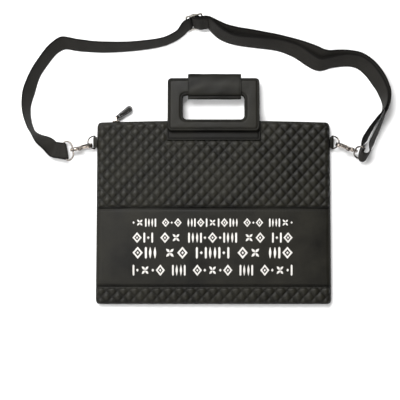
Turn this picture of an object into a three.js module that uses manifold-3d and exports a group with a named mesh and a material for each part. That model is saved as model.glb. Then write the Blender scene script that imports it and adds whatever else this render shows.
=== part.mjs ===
// A flat zipped bag of quilted and smooth leather with a carrying handle and a shoulder strap.
// It lies on its back: x runs along its width, y up to its mouth, z out of its front.
// The origin is the middle of the back panel's outer face, which is the plane the bag rests on.
import * as THREE from "three";
import Module from "manifold-3d";

// ---- driving sizes, millimetres and degrees ----
const POUCH_WIDTH = 366; // across the bottom edge
const POUCH_TAPER = 5; // the mouth edge is this much narrower
const POUCH_HEIGHT = 285;
const POUCH_THICKNESS = 22; // at the crown of the front
const MOUTH_CROWN = 3; // rise of the mouth edge in its middle
const WALL = 2.6; // padded leather
const EDGE_ROLL = 8; // width of the rounded edge
const FRONT_RISE = 7; // height of the front's rounded edge over the side seam
const SEAM_LEVEL = 6.5; // height of the side and bottom seam
const LIP = 4; // width of the turned edge at the mouth
const LIP_DROP = 2; // how far the front lip turns in
const LIP_LIFT = 3; // how far the back lip turns in
const HEM_HEIGHT = 28.5; // quilted hem, from the bottom edge up
const BAND_HEIGHT = 121; // smooth band above the hem
const SEAM_DIP = 1; // how deep the panels sink at those seams
const QUILT_PUFF = 1.3; // height of a quilted diamond
const QUILT_COLUMNS = 40; // half diamonds across
const QUILT_ROWS = 13; // half diamonds up the upper panel
const GAP = 0.3; // between pieces that are sewn or pressed together

const ZIP_CHAIN = 4.6; // across the teeth
const ZIP_TAPE = 1.1; // thickness of the tape
const SLIDER_INSET = 29.8; // from the left end of the mouth
const PULLER_LENGTH = 30.5;
const PULLER_WIDTH = 9.8;
const PULLER_ANGLE = 33; // above the mouth's line

const HANDLE_WIDTH = 142.2;
const HANDLE_HEIGHT = 83.7;
const HANDLE_DROP = 18; // its lower edge, below the mouth's ends
const HANDLE_THICKNESS = 9;
const HANDLE_CORNER = 6;
const OPENING_WIDTH = 94.8;
const OPENING_HEIGHT = 37.3;
const BOTTOM_BAR = 18.9;
const PATCH_WIDTH = 144.8;
const PATCH_DROP = 30.9; // its lower edge, below the mouth's ends
const PATCH_THICKNESS = 2.2;
const GRIP_MARGIN = 6.4; // the sleeve is this much shorter than the opening at each end
const GRIP_OVERHANG = 6.25; // and this much wider than the top bar at each side
const GRIP_WALL = 2.4;

const RING_DROP = 33.5; // the side rings, below the mouth's ends
const TAB_REACH = 6.1;
const RING_WIRE = 2.2;
const RING_HALF = 9.8; // half its height, to the wire's centre
const RING_DEPTH = 13;
const RING_TILT = 38; // how far a ring is raised off the floor
const HOOK_LENGTH = 38; // from the middle of the eye to the bow's bar
const LEFT_PLAY = 1.75; // room between the left ring and the end of its hook's eye
const RIGHT_PLAY = 0.95; // the same on the right
const HOOK_DEPTH = 5.5; // thickness of the cast body
const HOOK_ROLL = 14; // how far a hook leans out of upright
const EYE_RADIUS = 4.1;
const EYE_WALL = 2.6;
const BOW_WIRE = 2.6;

const STRAP_WIDTH = 25.4;
const STRAP_THICKNESS = 1.8;
const STRAP_SPREAD = 571; // across the whole loop
const STRAP_REACH = 201; // from the rings' level to the top of the loop
const STRAP_MIDDLE = -10.5; // middle of the loop's spread
const SLIDE_LENGTH = 27; // the adjuster, along the strap
const SLIDE_THICKNESS = 2.5;
const SLIDE_LEAN = 35;
const SLIDE_TURN = 12.6;
const STRAP_SLANT = 22; // the sewn end's slant off the left bow's bar

// Shallow dents of the front, each with its place as a share of the half width and the height,
// its reach as a share of the width, and its depth in wall thicknesses.
const DENTS = [
  // across, up, reach, depth
  [-0.62, 0.36, 0.13, 0.3],
  [0.48, 0.27, 0.11, 0.26],
  [0.1, 0.47, 0.16, 0.22],
  [0.7, 0.72, 0.14, 0.3],
  [-0.45, 0.8, 0.12, 0.24],
];

// The pair of strands, from the adjuster to the right hook, listed for the inner strand.
// across and up are shares of half the spread and of the reach, lean tips the upper edge outwards in
// degrees, apart is the distance of the outer strand in strap thicknesses. The last rows lie beside the
// bow's bar, whose own place is PAIR_BAR.
const PAIR_BAR = [0.84259, -0.08612];
const PAIR = [
  // across, up, lean, apart
  [0.083, 0.83, 33, 5.2],
  [0.147, 0.791, 29, 7.1],
  [0.273, 0.769, 35, 5.6],
  [0.392, 0.75, 40, 3.6],
  [0.493, 0.7, 47, 4.6],
  [0.561, 0.634, 45, 8.2],
  [0.612, 0.6, 45, 8.6],
  [0.668, 0.614, 38, 6.0],
  [0.743, 0.634, 44, 3.6],
  [0.821, 0.624, 47, 2.6],
  [0.877, 0.57, 47, 2.6],
  [0.927, 0.476, 42, 2.8],
  [0.96, 0.378, 29, 2.4],
  [0.964, 0.275, 4, 2.4],
  [0.934, 0.194, -14, 3.6],
  [0.893, 0.109, -21, 5.6],
  [0.856, 0.019, -25, 6.8],
];

// The single strand, from the adjuster to the left hook, and its bow's bar.
const SINGLE_BAR = [-0.76802, -0.06995];
const SINGLE = [
  // across, up, lean
  [-0.14, 0.846, 25],
  [-0.216, 0.784, 24],
  [-0.375, 0.744, 28],
  [-0.583, 0.735, 35],
  [-0.71, 0.752, 40],
  [-0.783, 0.766, 45],
  [-0.832, 0.722, 36],
  [-0.883, 0.634, 34],
  [-0.932, 0.526, 33],
  [-0.966, 0.395, 40],
  [-0.98, 0.279, 26],
  [-0.969, 0.163, 16],
  [-0.943, 0.078, 12],
  [-0.91, 0.026, 34],
  [-0.862, -0.016, 60],
];

// ---- helpers ----
const V = (x, y, z) => new THREE.Vector3(x, y, z);
const rad = (d) => (d * Math.PI) / 180;
const mix = (a, b, t) => a + (b - a) * t;

const wasm = await Module();
wasm.setup();

const bag = new THREE.Group();
bag.name = "tallit_bag";

const LEATHER = new THREE.MeshStandardMaterial({ color: 0x36332f, roughness: 0.55 });
const CLOTH = new THREE.MeshStandardMaterial({ color: 0x1c1b1a, roughness: 0.9 });
const WEBBING = new THREE.MeshStandardMaterial({ color: 0x2b2a29, roughness: 0.85 });
const NICKEL = new THREE.MeshStandardMaterial({ color: 0xc9c2b8, roughness: 0.25, metalness: 1 });
const BLACK_METAL = new THREE.MeshStandardMaterial({ color: 0x3a3836, roughness: 0.35, metalness: 0.8 });

function add(name, geometry, material) {
  const mesh = new THREE.Mesh(geometry, material.clone());
  mesh.name = name;
  bag.add(mesh);
  return mesh;
}

// A closed body from points and triangles, turned so that its faces point outwards.
function closedBody(points, triangles) {
  let volume = 0;
  for (const [a, b, c] of triangles)
    volume += points[a].dot(V().crossVectors(points[b], points[c]));
  const index = [];
  for (const [a, b, c] of triangles) volume < 0 ? index.push(a, c, b) : index.push(a, b, c);
  const g = new THREE.BufferGeometry().setFromPoints(points);
  g.setIndex(index);
  g.computeVertexNormals();
  return g;
}

// A sheet between an outer and an inner grid of points. crease(i, j) picks a square's diagonal.
// The inner face uses the grid lines keepI and keepJ only, so it can be plainer than the outer one.
function sheet(outer, inner, crease = () => false, keepI = null, keepJ = null) {
  const n = outer.length,
    m = outer[0].length,
    si = keepI || outer.map((_, i) => i),
    sj = keepJ || outer[0].map((_, j) => j),
    points = [...outer.flat(), ...si.flatMap((i) => sj.map((j) => inner[i][j]))],
    o = (i, j) => i * m + j,
    q = (a, b) => n * m + a * sj.length + b,
    t = [];
  for (let i = 0; i < n - 1; i++)
    for (let j = 0; j < m - 1; j++) {
      const [a, b, c, d] = [o(i, j), o(i + 1, j), o(i + 1, j + 1), o(i, j + 1)];
      if (crease(i, j)) t.push([a, b, d], [b, c, d]);
      else t.push([a, b, c], [a, c, d]);
    }
  for (let a = 0; a < si.length - 1; a++)
    for (let b = 0; b < sj.length - 1; b++)
      t.push([q(a, b), q(a + 1, b + 1), q(a + 1, b)], [q(a, b), q(a, b + 1), q(a + 1, b + 1)]);
  // Rims: each stretch between two kept lines is a fan on the outer points.
  const rim = (kept, count, oAt, qAt, flip) => {
    const put = (x, y, z) => t.push(flip ? [x, z, y] : [x, y, z]);
    for (let a = 0; a < kept.length - 1; a++) {
      for (let i = kept[a]; i < kept[a + 1]; i++) put(oAt(i), qAt(a), oAt(i + 1));
      put(oAt(kept[a + 1]), qAt(a), qAt(a + 1));
    }
  };
  const I = sj.length - 1,
    J = si.length - 1;
  rim(si, n, (i) => o(i, 0), (a) => q(a, 0), false);
  rim(si, n, (i) => o(i, m - 1), (a) => q(a, I), true);
  rim(sj, m, (j) => o(0, j), (b) => q(0, b), true);
  rim(sj, m, (j) => o(n - 1, j), (b) => q(J, b), false);
  return closedBody(points, t);
}

// A bar through sections that hold the same number of corners, closed at both ends or round on itself.
function bar(sections, ring = false) {
  const n = sections.length,
    m = sections[0].length,
    points = sections.flat(),
    t = [];
  for (let i = 0; i < (ring ? n : n - 1); i++)
    for (let j = 0; j < m; j++) {
      const k = (i + 1) % n,
        l = (j + 1) % m;
      t.push([i * m + j, k * m + j, k * m + l], [i * m + j, k * m + l, i * m + l]);
    }
  if (!ring)
    for (let j = 1; j < m - 1; j++) {
      t.push([0, j, j + 1]);
      t.push([(n - 1) * m, (n - 1) * m + j + 1, (n - 1) * m + j]);
    }
  return closedBody(points, t);
}

// A round wire along a row of points.
function wire(points, radius, steps, sides = 6) {
  const disc = new THREE.Shape(
    Array.from({ length: sides }, (_, k) => {
      const a = (2 * Math.PI * (k + 0.5)) / sides;
      return new THREE.Vector2(radius * Math.cos(a), radius * Math.sin(a));
    }),
  );
  const path = new THREE.CatmullRomCurve3(points, false, "centripetal");
  return new THREE.ExtrudeGeometry(disc, { steps, bevelEnabled: false, extrudePath: path });
}

const box = (x0, x1, y0, y1, z0, z1) =>
  new THREE.BoxGeometry(x1 - x0, y1 - y0, z1 - z0).translate((x0 + x1) / 2, (y0 + y1) / 2, (z0 + z1) / 2);

// three.js geometry to a manifold-3d solid and back, for pieces joined from several forms.
function solid(geometry) {
  const g = geometry.index ? geometry.toNonIndexed() : geometry;
  const p = g.getAttribute("position").array,
    seen = new Map(),
    verts = [],
    tris = [];
  for (let i = 0; i < p.length; i += 3) {
    const key = [p[i], p[i + 1], p[i + 2]].map((x) => Math.round(x * 1e4)).join();
    if (!seen.has(key)) {
      seen.set(key, verts.length / 3);
      verts.push(p[i], p[i + 1], p[i + 2]);
    }
    tris.push(seen.get(key));
  }
  const kept = [];
  for (let i = 0; i < tris.length; i += 3) {
    const [a, b, c] = tris.slice(i, i + 3);
    if (a !== b && b !== c && c !== a) kept.push(a, b, c);
  }
  return new wasm.Manifold(
    new wasm.Mesh({ numProp: 3, vertProperties: new Float32Array(verts), triVerts: new Uint32Array(kept) }),
  );
}
function geometryOf(s) {
  const m = s.getMesh(),
    v = new Float32Array(m.numVert * 3);
  for (let i = 0; i < m.numVert; i++)
    v.set(m.vertProperties.subarray(i * m.numProp, i * m.numProp + 3), i * 3);
  const g = new THREE.BufferGeometry().setAttribute("position", new THREE.BufferAttribute(v, 3));
  g.setIndex(Array.from(m.triVerts));
  g.computeVertexNormals();
  return g;
}
const join = (...geometries) => geometries.map(solid).reduce((a, b) => a.add(b));

const basis = (origin, ex, ey, ez) => new THREE.Matrix4().makeBasis(ex, ey, ez).setPosition(origin);

// ---- the pouch's form ----
const MOUTH = POUCH_HEIGHT / 2; // the mouth's ends, above the middle of the bag
const BAND_FOOT = HEM_HEIGHT - POUCH_HEIGHT / 2; // seam of hem and smooth band
const BAND_TOP = BAND_FOOT + BAND_HEIGHT; // seam of smooth band and quilting
const RING_LEVEL = MOUTH - RING_DROP;
const halfWidth = (v) => (POUCH_WIDTH - POUCH_TAPER * v) / 2;
const arc = (d, width) => (d >= width ? 1 : Math.sqrt(Math.max(0, 1 - (1 - d / width) ** 2)));

// Plan of the pouch: u runs from -1 to 1 across, v from 0 at the bottom to 1 at the mouth.
function plan(u, v) {
  const half = halfWidth(v),
    height = POUCH_HEIGHT - MOUTH_CROWN * u * u;
  let dx = (1 - Math.abs(u)) * half,
    dy = v * height,
    dt = (1 - v) * height;
  const round = (a, b) => {
    const p = EDGE_ROLL - a,
      q = EDGE_ROLL - b;
    if (p <= 0 || q <= 0) return [a, b];
    const s = 1 - 0.75 + (0.75 * Math.max(p, q)) / Math.hypot(p, q);
    return [EDGE_ROLL - p * s, EDGE_ROLL - q * s];
  };
  const edge = Math.min(dx, dy),
    lip = dt,
    side = dx;
  let y;
  if (dy < dt) {
    [dx, dy] = round(dx, dy);
    y = dy - POUCH_HEIGHT / 2;
  } else {
    [dx, dt] = round(dx, dt);
    y = height - POUCH_HEIGHT / 2 - dt;
  }
  return { x: Math.sign(u) * (half - dx), y, edge, lip, side };
}

function crown(u, v) {
  const rise = POUCH_THICKNESS - SEAM_LEVEL - FRONT_RISE;
  let z = rise * (1 - Math.abs(u) ** 2.5) * (1 - Math.abs(2 * v - 1) ** 2.5);
  for (const [across, up, reach, depth] of DENTS) {
    const d = Math.hypot((u - across) / 2, ((v - up) * POUCH_HEIGHT) / POUCH_WIDTH) / reach;
    z -= depth * WALL * Math.exp(-d * d * 1.6);
  }
  return z;
}

function front(u, v) {
  const p = plan(u, v),
    round = arc(p.edge, EDGE_ROLL),
    turn = 1 - arc(p.lip, LIP);
  let z = SEAM_LEVEL + FRONT_RISE * round + crown(u, v) * round - LIP_DROP * turn * round;
  for (const s of [BAND_TOP, BAND_FOOT]) z -= SEAM_DIP * round * Math.exp(-(((p.y - s) / 3) ** 2));
  return V(p.x, p.y, z);
}

function back(u, v) {
  const p = plan(u, v),
    round = arc(p.edge, EDGE_ROLL),
    turn = 1 - arc(p.lip, LIP);
  return V(p.x, p.y, SEAM_LEVEL * (1 - round) + LIP_LIFT * turn * round);
}

// Unit normal of a form, pointing out of the bag; level where the form ends on a seam or a lip.
function normalOf(form, u, v, out) {
  const e = 1e-4,
    a = form(Math.min(1, u + e), v).sub(form(Math.max(-1, u - e), v)),
    b = form(u, Math.min(1, v + e)).sub(form(u, Math.max(0, v - e))),
    n = V().crossVectors(a, b).multiplyScalar(out);
  const p = plan(u, v);
  if (p.edge < 1e-6 || p.lip < 1e-6) {
    n.z = 0;
    if (n.length() < 1e-12 || p.lip < 1e-6) n.set(p.edge < EDGE_ROLL ? Math.sign(u) * (EDGE_ROLL - p.edge) : 0, EDGE_ROLL, 0);
    if (p.edge < 1e-6 && p.lip > 1e-6) {
      const low = v * POUCH_HEIGHT < EDGE_ROLL,
        q = low ? EDGE_ROLL - v * POUCH_HEIGHT : 0,
        r = EDGE_ROLL - Math.min(EDGE_ROLL, p.side);
      n.set(Math.sign(u) * r, -q, 0);
      if (low === false && p.lip < EDGE_ROLL) n.set(Math.sign(u) * EDGE_ROLL, EDGE_ROLL - p.lip, 0);
    }
  }
  return n.normalize();
}

// Grid lines: distances from an edge turned into shares of the width or the height.
const ROLL_STEPS = [0, 0.1, 0.4].map((s) => s * EDGE_ROLL);
function across(columns) {
  const edge = ROLL_STEPS.map((d) => 1 - (2 * d) / POUCH_WIDTH),
    reach = 1 - (2 * EDGE_ROLL) / (POUCH_WIDTH - POUCH_TAPER),
    inner = Array.from({ length: columns + 1 }, (_, i) => reach * (-1 + (2 * i) / columns));
  return [...edge.map((u) => -u), ...inner, ...edge.slice().reverse()];
}
const up = (y) => (y + POUCH_HEIGHT / 2) / POUCH_HEIGHT;
const between = (lo, hi, n) => Array.from({ length: n + 1 }, (_, i) => mix(lo, hi, i / n));
const LIP_ROWS = [LIP, 0.4 * LIP, 0.1 * LIP, 0].map((d) => 1 - d / POUCH_HEIGHT);

// A panel on a form, with the puffs of its quilting if it has any.
function panel(form, columns, rows, out, quilt, every = 1) {
  const us = across(columns),
    outer = [],
    inner = [];
  us.forEach((u, i) => {
    const a = [],
      b = [];
    rows.forEach((v, j) => {
      const p = form(u, v),
        n = normalOf(form, u, v, out),
        puff = quilt && quilt(i, j) ? QUILT_PUFF : 0;
      b.push(p.clone().addScaledVector(n, -WALL));
      a.push(p.addScaledVector(n, puff));
    });
    outer.push(a);
    inner.push(b);
  });
  const edges = ROLL_STEPS.length,
    keep = us.map((_, i) => i).filter((i) => i <= edges || i >= us.length - 1 - edges || (i - edges) % every === 0);
  return sheet(outer, inner, quilt ? (i, j) => (i + j) % 2 === 1 : undefined, keep);
}

// ---- panels ----
const first = ROLL_STEPS.length,
  last = first + QUILT_COLUMNS;
const upperRows = [
  up(BAND_TOP + GAP / 2),
  ...between(BAND_TOP + 4, POUCH_HEIGHT / 2 - LIP - 3, QUILT_ROWS).map(up),
  ...LIP_ROWS,
];
const upperQuilt = (i, j) => i >= first && i <= last && j > 0 && j <= QUILT_ROWS && (i + j) % 2 === 0;
const hemRows = [
  ...ROLL_STEPS.map((d) => d / POUCH_HEIGHT),
  ...between(EDGE_ROLL - POUCH_HEIGHT / 2, BAND_FOOT - 3, 2).map(up),
  up(BAND_FOOT - GAP / 2),
];
const hemQuilt = (i, j) =>
  i >= first && i <= last && j >= ROLL_STEPS.length && j < hemRows.length - 1 && (i + j) % 2 === 0;
const bandRows = [
  up(BAND_FOOT + GAP / 2),
  up(BAND_FOOT + 4),
  ...between(BAND_FOOT + 24, BAND_TOP - 24, 3).map(up),
  up(BAND_TOP - 4),
  up(BAND_TOP - GAP / 2),
];
const lift = (form, by) => (u, v) => form(u, v).add(V(0, 0, by));

add("front_quilted_panel", panel(lift(front, GAP), QUILT_COLUMNS, upperRows, 1, upperQuilt, 4), LEATHER);
add("front_smooth_band", panel(lift(front, GAP), 16, bandRows, 1), LEATHER);
add("front_quilted_hem", panel(lift(front, GAP), QUILT_COLUMNS, hemRows, 1, hemQuilt, 4), LEATHER);
add(
  "back_panel",
  panel(
    back,
    12,
    [...ROLL_STEPS.map((d) => d / POUCH_HEIGHT), ...between(EDGE_ROLL - POUCH_HEIGHT / 2, POUCH_HEIGHT / 2 - LIP - 4, 5).map(up), ...LIP_ROWS],
    -1,
  ),
  LEATHER,
);

// ---- zip along the mouth ----
const mouthAt = (x) => {
  const u = x / halfWidth(1),
    f = front(u, 1),
    b = back(u, 1);
  return { x: f.x, y: f.y, low: b.z, high: f.z + GAP, middle: (f.z + b.z + GAP) / 2 };
};
const SLIDER_AT = SLIDER_INSET - halfWidth(1);
const chainFrom = SLIDER_AT - 2.4,
  chainTo = halfWidth(1) - EDGE_ROLL - 6;
const tapeEnd = halfWidth(1) - 0.75 * EDGE_ROLL,
  tapeStart = -tapeEnd;
const tapeStops = [
  tapeStart,
  tapeStart + 2.5,
  SLIDER_AT - 11,
  SLIDER_AT - 7.5,
  SLIDER_AT + 3,
  ...between(SLIDER_AT + 18, chainTo - 18, 14),
  chainTo + 0.4,
  chainTo + 3.5,
  tapeEnd - 2.5,
  tapeEnd,
].sort((a, b) => a - b);
for (const side of ["back", "front"]) {
  const sections = tapeStops.map((x) => {
    const m = mouthAt(x),
      open = x > SLIDER_AT - 8 && x < chainTo + 1 ? ZIP_CHAIN / 2 + GAP : GAP / 2,
      outer = m.y - 0.9,
      rim = Math.abs(x) > tapeEnd - 1 ? 3 * GAP : GAP,
      z = side === "back" ? [m.low + rim, m.middle - open] : [m.middle + open, m.high - rim];
    return [V(m.x, outer, z[0]), V(m.x, outer, z[1]), V(m.x, outer - ZIP_TAPE, z[1]), V(m.x, outer - ZIP_TAPE, z[0])];
  });
  add("zip_tape_" + side, bar(sections), CLOTH);
}
add(
  "zip_chain",
  bar(
    between(chainFrom, chainTo, 20).map((x) => {
      const m = mouthAt(x),
        h = ZIP_CHAIN / 2;
      return [
        V(m.x, m.y + 0.2, m.middle - h * 0.7),
        V(m.x, m.y + 0.2, m.middle + h * 0.7),
        V(m.x, m.y - 0.7, m.middle + h),
        V(m.x, m.y - 2.1, m.middle + h),
        V(m.x, m.y - 3, m.middle + h * 0.7),
        V(m.x, m.y - 3, m.middle - h * 0.7),
        V(m.x, m.y - 2.1, m.middle - h),
        V(m.x, m.y - 0.7, m.middle - h),
      ];
    }),
  ),
  BLACK_METAL,
);

const sliderMouth = mouthAt(SLIDER_AT),
  sliderNext = mouthAt(SLIDER_AT + 1);
const sliderAlong = V(sliderNext.x - sliderMouth.x, sliderNext.y - sliderMouth.y, 0).normalize();
const sliderOut = V(-sliderAlong.y, sliderAlong.x, 0);
const sliderFrame = basis(V(sliderMouth.x, sliderMouth.y, sliderMouth.middle), sliderAlong, sliderOut, V(0, 0, 1));
const PIN_AT = V(-1, 5.8, 0),
  PIN_RADIUS = 1.1;
// The slider's outer plate is as wide as the mouth, its inner one as wide as the room behind the lips.
const outerPlate = (sliderMouth.high - sliderMouth.low) / 2 - 0.2,
  innerPlate = SEAM_LEVEL + FRONT_RISE + GAP - WALL - sliderMouth.middle - 0.2;
const pin = new THREE.CylinderGeometry(PIN_RADIUS, PIN_RADIUS, 6, 12).rotateX(Math.PI / 2).translate(PIN_AT.x, PIN_AT.y, 0);
add(
  "zip_slider",
  geometryOf(
    join(
      box(-6, 5, 0.6, 2.2, -outerPlate, outerPlate),
      box(-6, 5, -5, -3.4, -innerPlate, innerPlate),
      box(-6, -3, -4, 1, -1.3, 1.3),
      box(-3, 1, 2, 7.4, 1.8, 3),
      box(-3, 1, 2, 7.4, -3, -1.8),
      pin,
    ),
  ).applyMatrix4(sliderFrame),
  NICKEL,
);

// The puller swings on the slider's pin. Its outline is drawn along its own length.
const pullerFrame = sliderFrame
  .clone()
  .multiply(new THREE.Matrix4().makeTranslation(PIN_AT.x, PIN_AT.y, 0))
  .multiply(new THREE.Matrix4().makeRotationZ(rad(PULLER_ANGLE)));
function paddle(from, to, startHalf, endHalf, segments = 10) {
  const centre = to - endHalf,
    pts = [new THREE.Vector2(from, -startHalf)];
  for (let k = 0; k <= segments; k++) {
    const a = -Math.PI / 2 + (Math.PI * k) / segments;
    pts.push(new THREE.Vector2(centre + endHalf * Math.cos(a), endHalf * Math.sin(a)));
  }
  pts.push(new THREE.Vector2(from, startHalf));
  return pts;
}
const slab = (points, half, holes = []) => {
  const shape = new THREE.Shape(points);
  shape.holes = holes.map((h) => new THREE.Path(h));
  return new THREE.ExtrudeGeometry(shape, { depth: 2 * half, bevelEnabled: false }).translate(0, 0, -half);
};
const tube = (radius, half, sides = 16) =>
  new THREE.CylinderGeometry(radius, radius, 2 * half, sides).rotateX(Math.PI / 2);
const RIM = 1.5;
const pullerBody = solid(slab(paddle(2, PULLER_LENGTH, 2.7, PULLER_WIDTH / 2), 1.3))
  .add(solid(tube(2.9, 1.3)))
  .subtract(solid(tube(PIN_RADIUS + 0.4, 2)))
  .subtract(solid(slab(paddle(6.5, PULLER_LENGTH - RIM, 1.9, PULLER_WIDTH / 2 - RIM, 8), 2)));
add("zip_puller", geometryOf(pullerBody).applyMatrix4(pullerFrame), BLACK_METAL);
add(
  "puller_inlay",
  slab(paddle(6.5 + GAP, PULLER_LENGTH - RIM - GAP, 1.9 - GAP, PULLER_WIDTH / 2 - RIM - GAP, 8), 1).applyMatrix4(pullerFrame),
  LEATHER,
);

// ---- handle ----
// Height of the front, puffs included, over a point of the plan.
function frontTop(x, y) {
  let v = up(y),
    u = x / halfWidth(v);
  v = (y + POUCH_HEIGHT / 2) / (POUCH_HEIGHT - MOUTH_CROWN * u * u);
  v = Math.min(v, 1 - LIP / POUCH_HEIGHT);
  u = x / halfWidth(v);
  return front(u, v).z + GAP + QUILT_PUFF;
}
const HANDLE_FOOT = MOUTH - HANDLE_DROP,
  PATCH_FOOT = MOUTH - PATCH_DROP;
const patchTopEdge = (x) => mouthAt(x).y - 0.8;
const patchColumns = between(-PATCH_WIDTH / 2, PATCH_WIDTH / 2, 10);
const patchOuter = [],
  patchInner = [];
for (const x of patchColumns) {
  const ys = between(PATCH_FOOT, patchTopEdge(x), 5);
  patchInner.push(ys.map((y) => V(x, y, frontTop(x, y) + GAP)));
  patchOuter.push(ys.map((y) => V(x, y, frontTop(x, y) + GAP + PATCH_THICKNESS)));
}
add("handle_patch", sheet(patchOuter, patchInner), LEATHER);

// The frame lies on the patch and slopes with it.
const patchTop = (y) => frontTop(0, y) + GAP + PATCH_THICKNESS;
const barTop = Math.min(HANDLE_FOOT + BOTTOM_BAR, patchTopEdge(0));
const handleSlope = Math.atan2(patchTop(HANDLE_FOOT) - patchTop(barTop), barTop - HANDLE_FOOT);
let handleLevel = 0;
for (const y of between(HANDLE_FOOT, barTop, 8))
  handleLevel = Math.max(handleLevel, patchTop(y) + (y - HANDLE_FOOT) * Math.tan(handleSlope));
const handleFrame = basis(
  V(0, HANDLE_FOOT, handleLevel + GAP / Math.cos(handleSlope)),
  V(1, 0, 0),
  V(0, Math.cos(handleSlope), -Math.sin(handleSlope)),
  V(0, Math.sin(handleSlope), Math.cos(handleSlope)),
);
// A rounded rectangle as a ring of points, the same number for every size.
function roundedRing(halfX, halfY, cx, cy, radius, z, perCorner = 4) {
  const r = Math.max(0.4, radius),
    pts = [];
  for (let c = 0; c < 4; c++) {
    const sx = c === 0 || c === 3 ? 1 : -1,
      sy = c < 2 ? 1 : -1;
    for (let k = 0; k < perCorner; k++) {
      const a = (Math.PI / 2) * (c + k / (perCorner - 1));
      pts.push(V(cx + sx * (halfX - r) + r * Math.cos(a), cy + sy * (halfY - r) + r * Math.sin(a), z));
    }
  }
  return pts;
}
const HALF = HANDLE_THICKNESS;
// columns: how far the section lies inside the bar's edge, and its height, in handle thicknesses
const BAR_SECTION = [
  [0.16, 0],
  [0, 0.2],
  [0.06, 0.6],
  [0.24, 0.9],
  [0.52, 1],
];
const outerRings = BAR_SECTION.map(([inset, height]) =>
  roundedRing(
    HANDLE_WIDTH / 2 - inset * HALF,
    HANDLE_HEIGHT / 2 - inset * HALF,
    0,
    HANDLE_HEIGHT / 2,
    HANDLE_CORNER - inset * HALF * 0.6,
    height * HALF,
  ),
);
const innerRings = BAR_SECTION.slice()
  .reverse()
  .map(([inset, height]) =>
    roundedRing(
      OPENING_WIDTH / 2 + inset * HALF,
      OPENING_HEIGHT / 2 + inset * HALF,
      0,
      BOTTOM_BAR + OPENING_HEIGHT / 2,
      HANDLE_CORNER + inset * HALF * 0.8,
      height * HALF,
    ),
  );
const rings = [...outerRings, ...innerRings];
const frameSections = rings[0].map((_, k) => rings.map((r) => r[k]));
add("handle_frame", bar(frameSections, true).applyMatrix4(handleFrame), LEATHER);

// The grip sleeve goes right round the top bar.
const topBar = HANDLE_HEIGHT - BOTTOM_BAR - OPENING_HEIGHT,
  gripMiddle = HANDLE_HEIGHT - topBar / 2,
  gripHalfWidth = topBar / 2 + GRIP_OVERHANG,
  gripLength = OPENING_WIDTH - 2 * GRIP_MARGIN;
const sleevePoints = (halfY, halfZ, r) =>
  roundedRing(halfY, halfZ, 0, 0, r, 0, 5).map((p) => new THREE.Vector2(p.x, p.y));
const gripHalf = HANDLE_THICKNESS / 2 + 0.5 + GRIP_WALL,
  holeHalf = HANDLE_THICKNESS / 2 + 0.5;
const gripProfile = new THREE.Shape(sleevePoints(gripHalfWidth, gripHalf, gripHalf * 0.92));
gripProfile.holes.push(
  new THREE.Path(sleevePoints(Math.max(topBar / 2 + 0.6, gripHalfWidth - 3.2), holeHalf, holeHalf * 0.6)),
);
const grip = new THREE.ExtrudeGeometry(gripProfile, { depth: gripLength, bevelEnabled: false });
grip.applyMatrix4(basis(V(-gripLength / 2 + 1.6, gripMiddle, HANDLE_THICKNESS / 2), V(0, 1, 0), V(0, 0, 1), V(1, 0, 0)));
add("handle_grip", grip.applyMatrix4(handleFrame), LEATHER);

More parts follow.
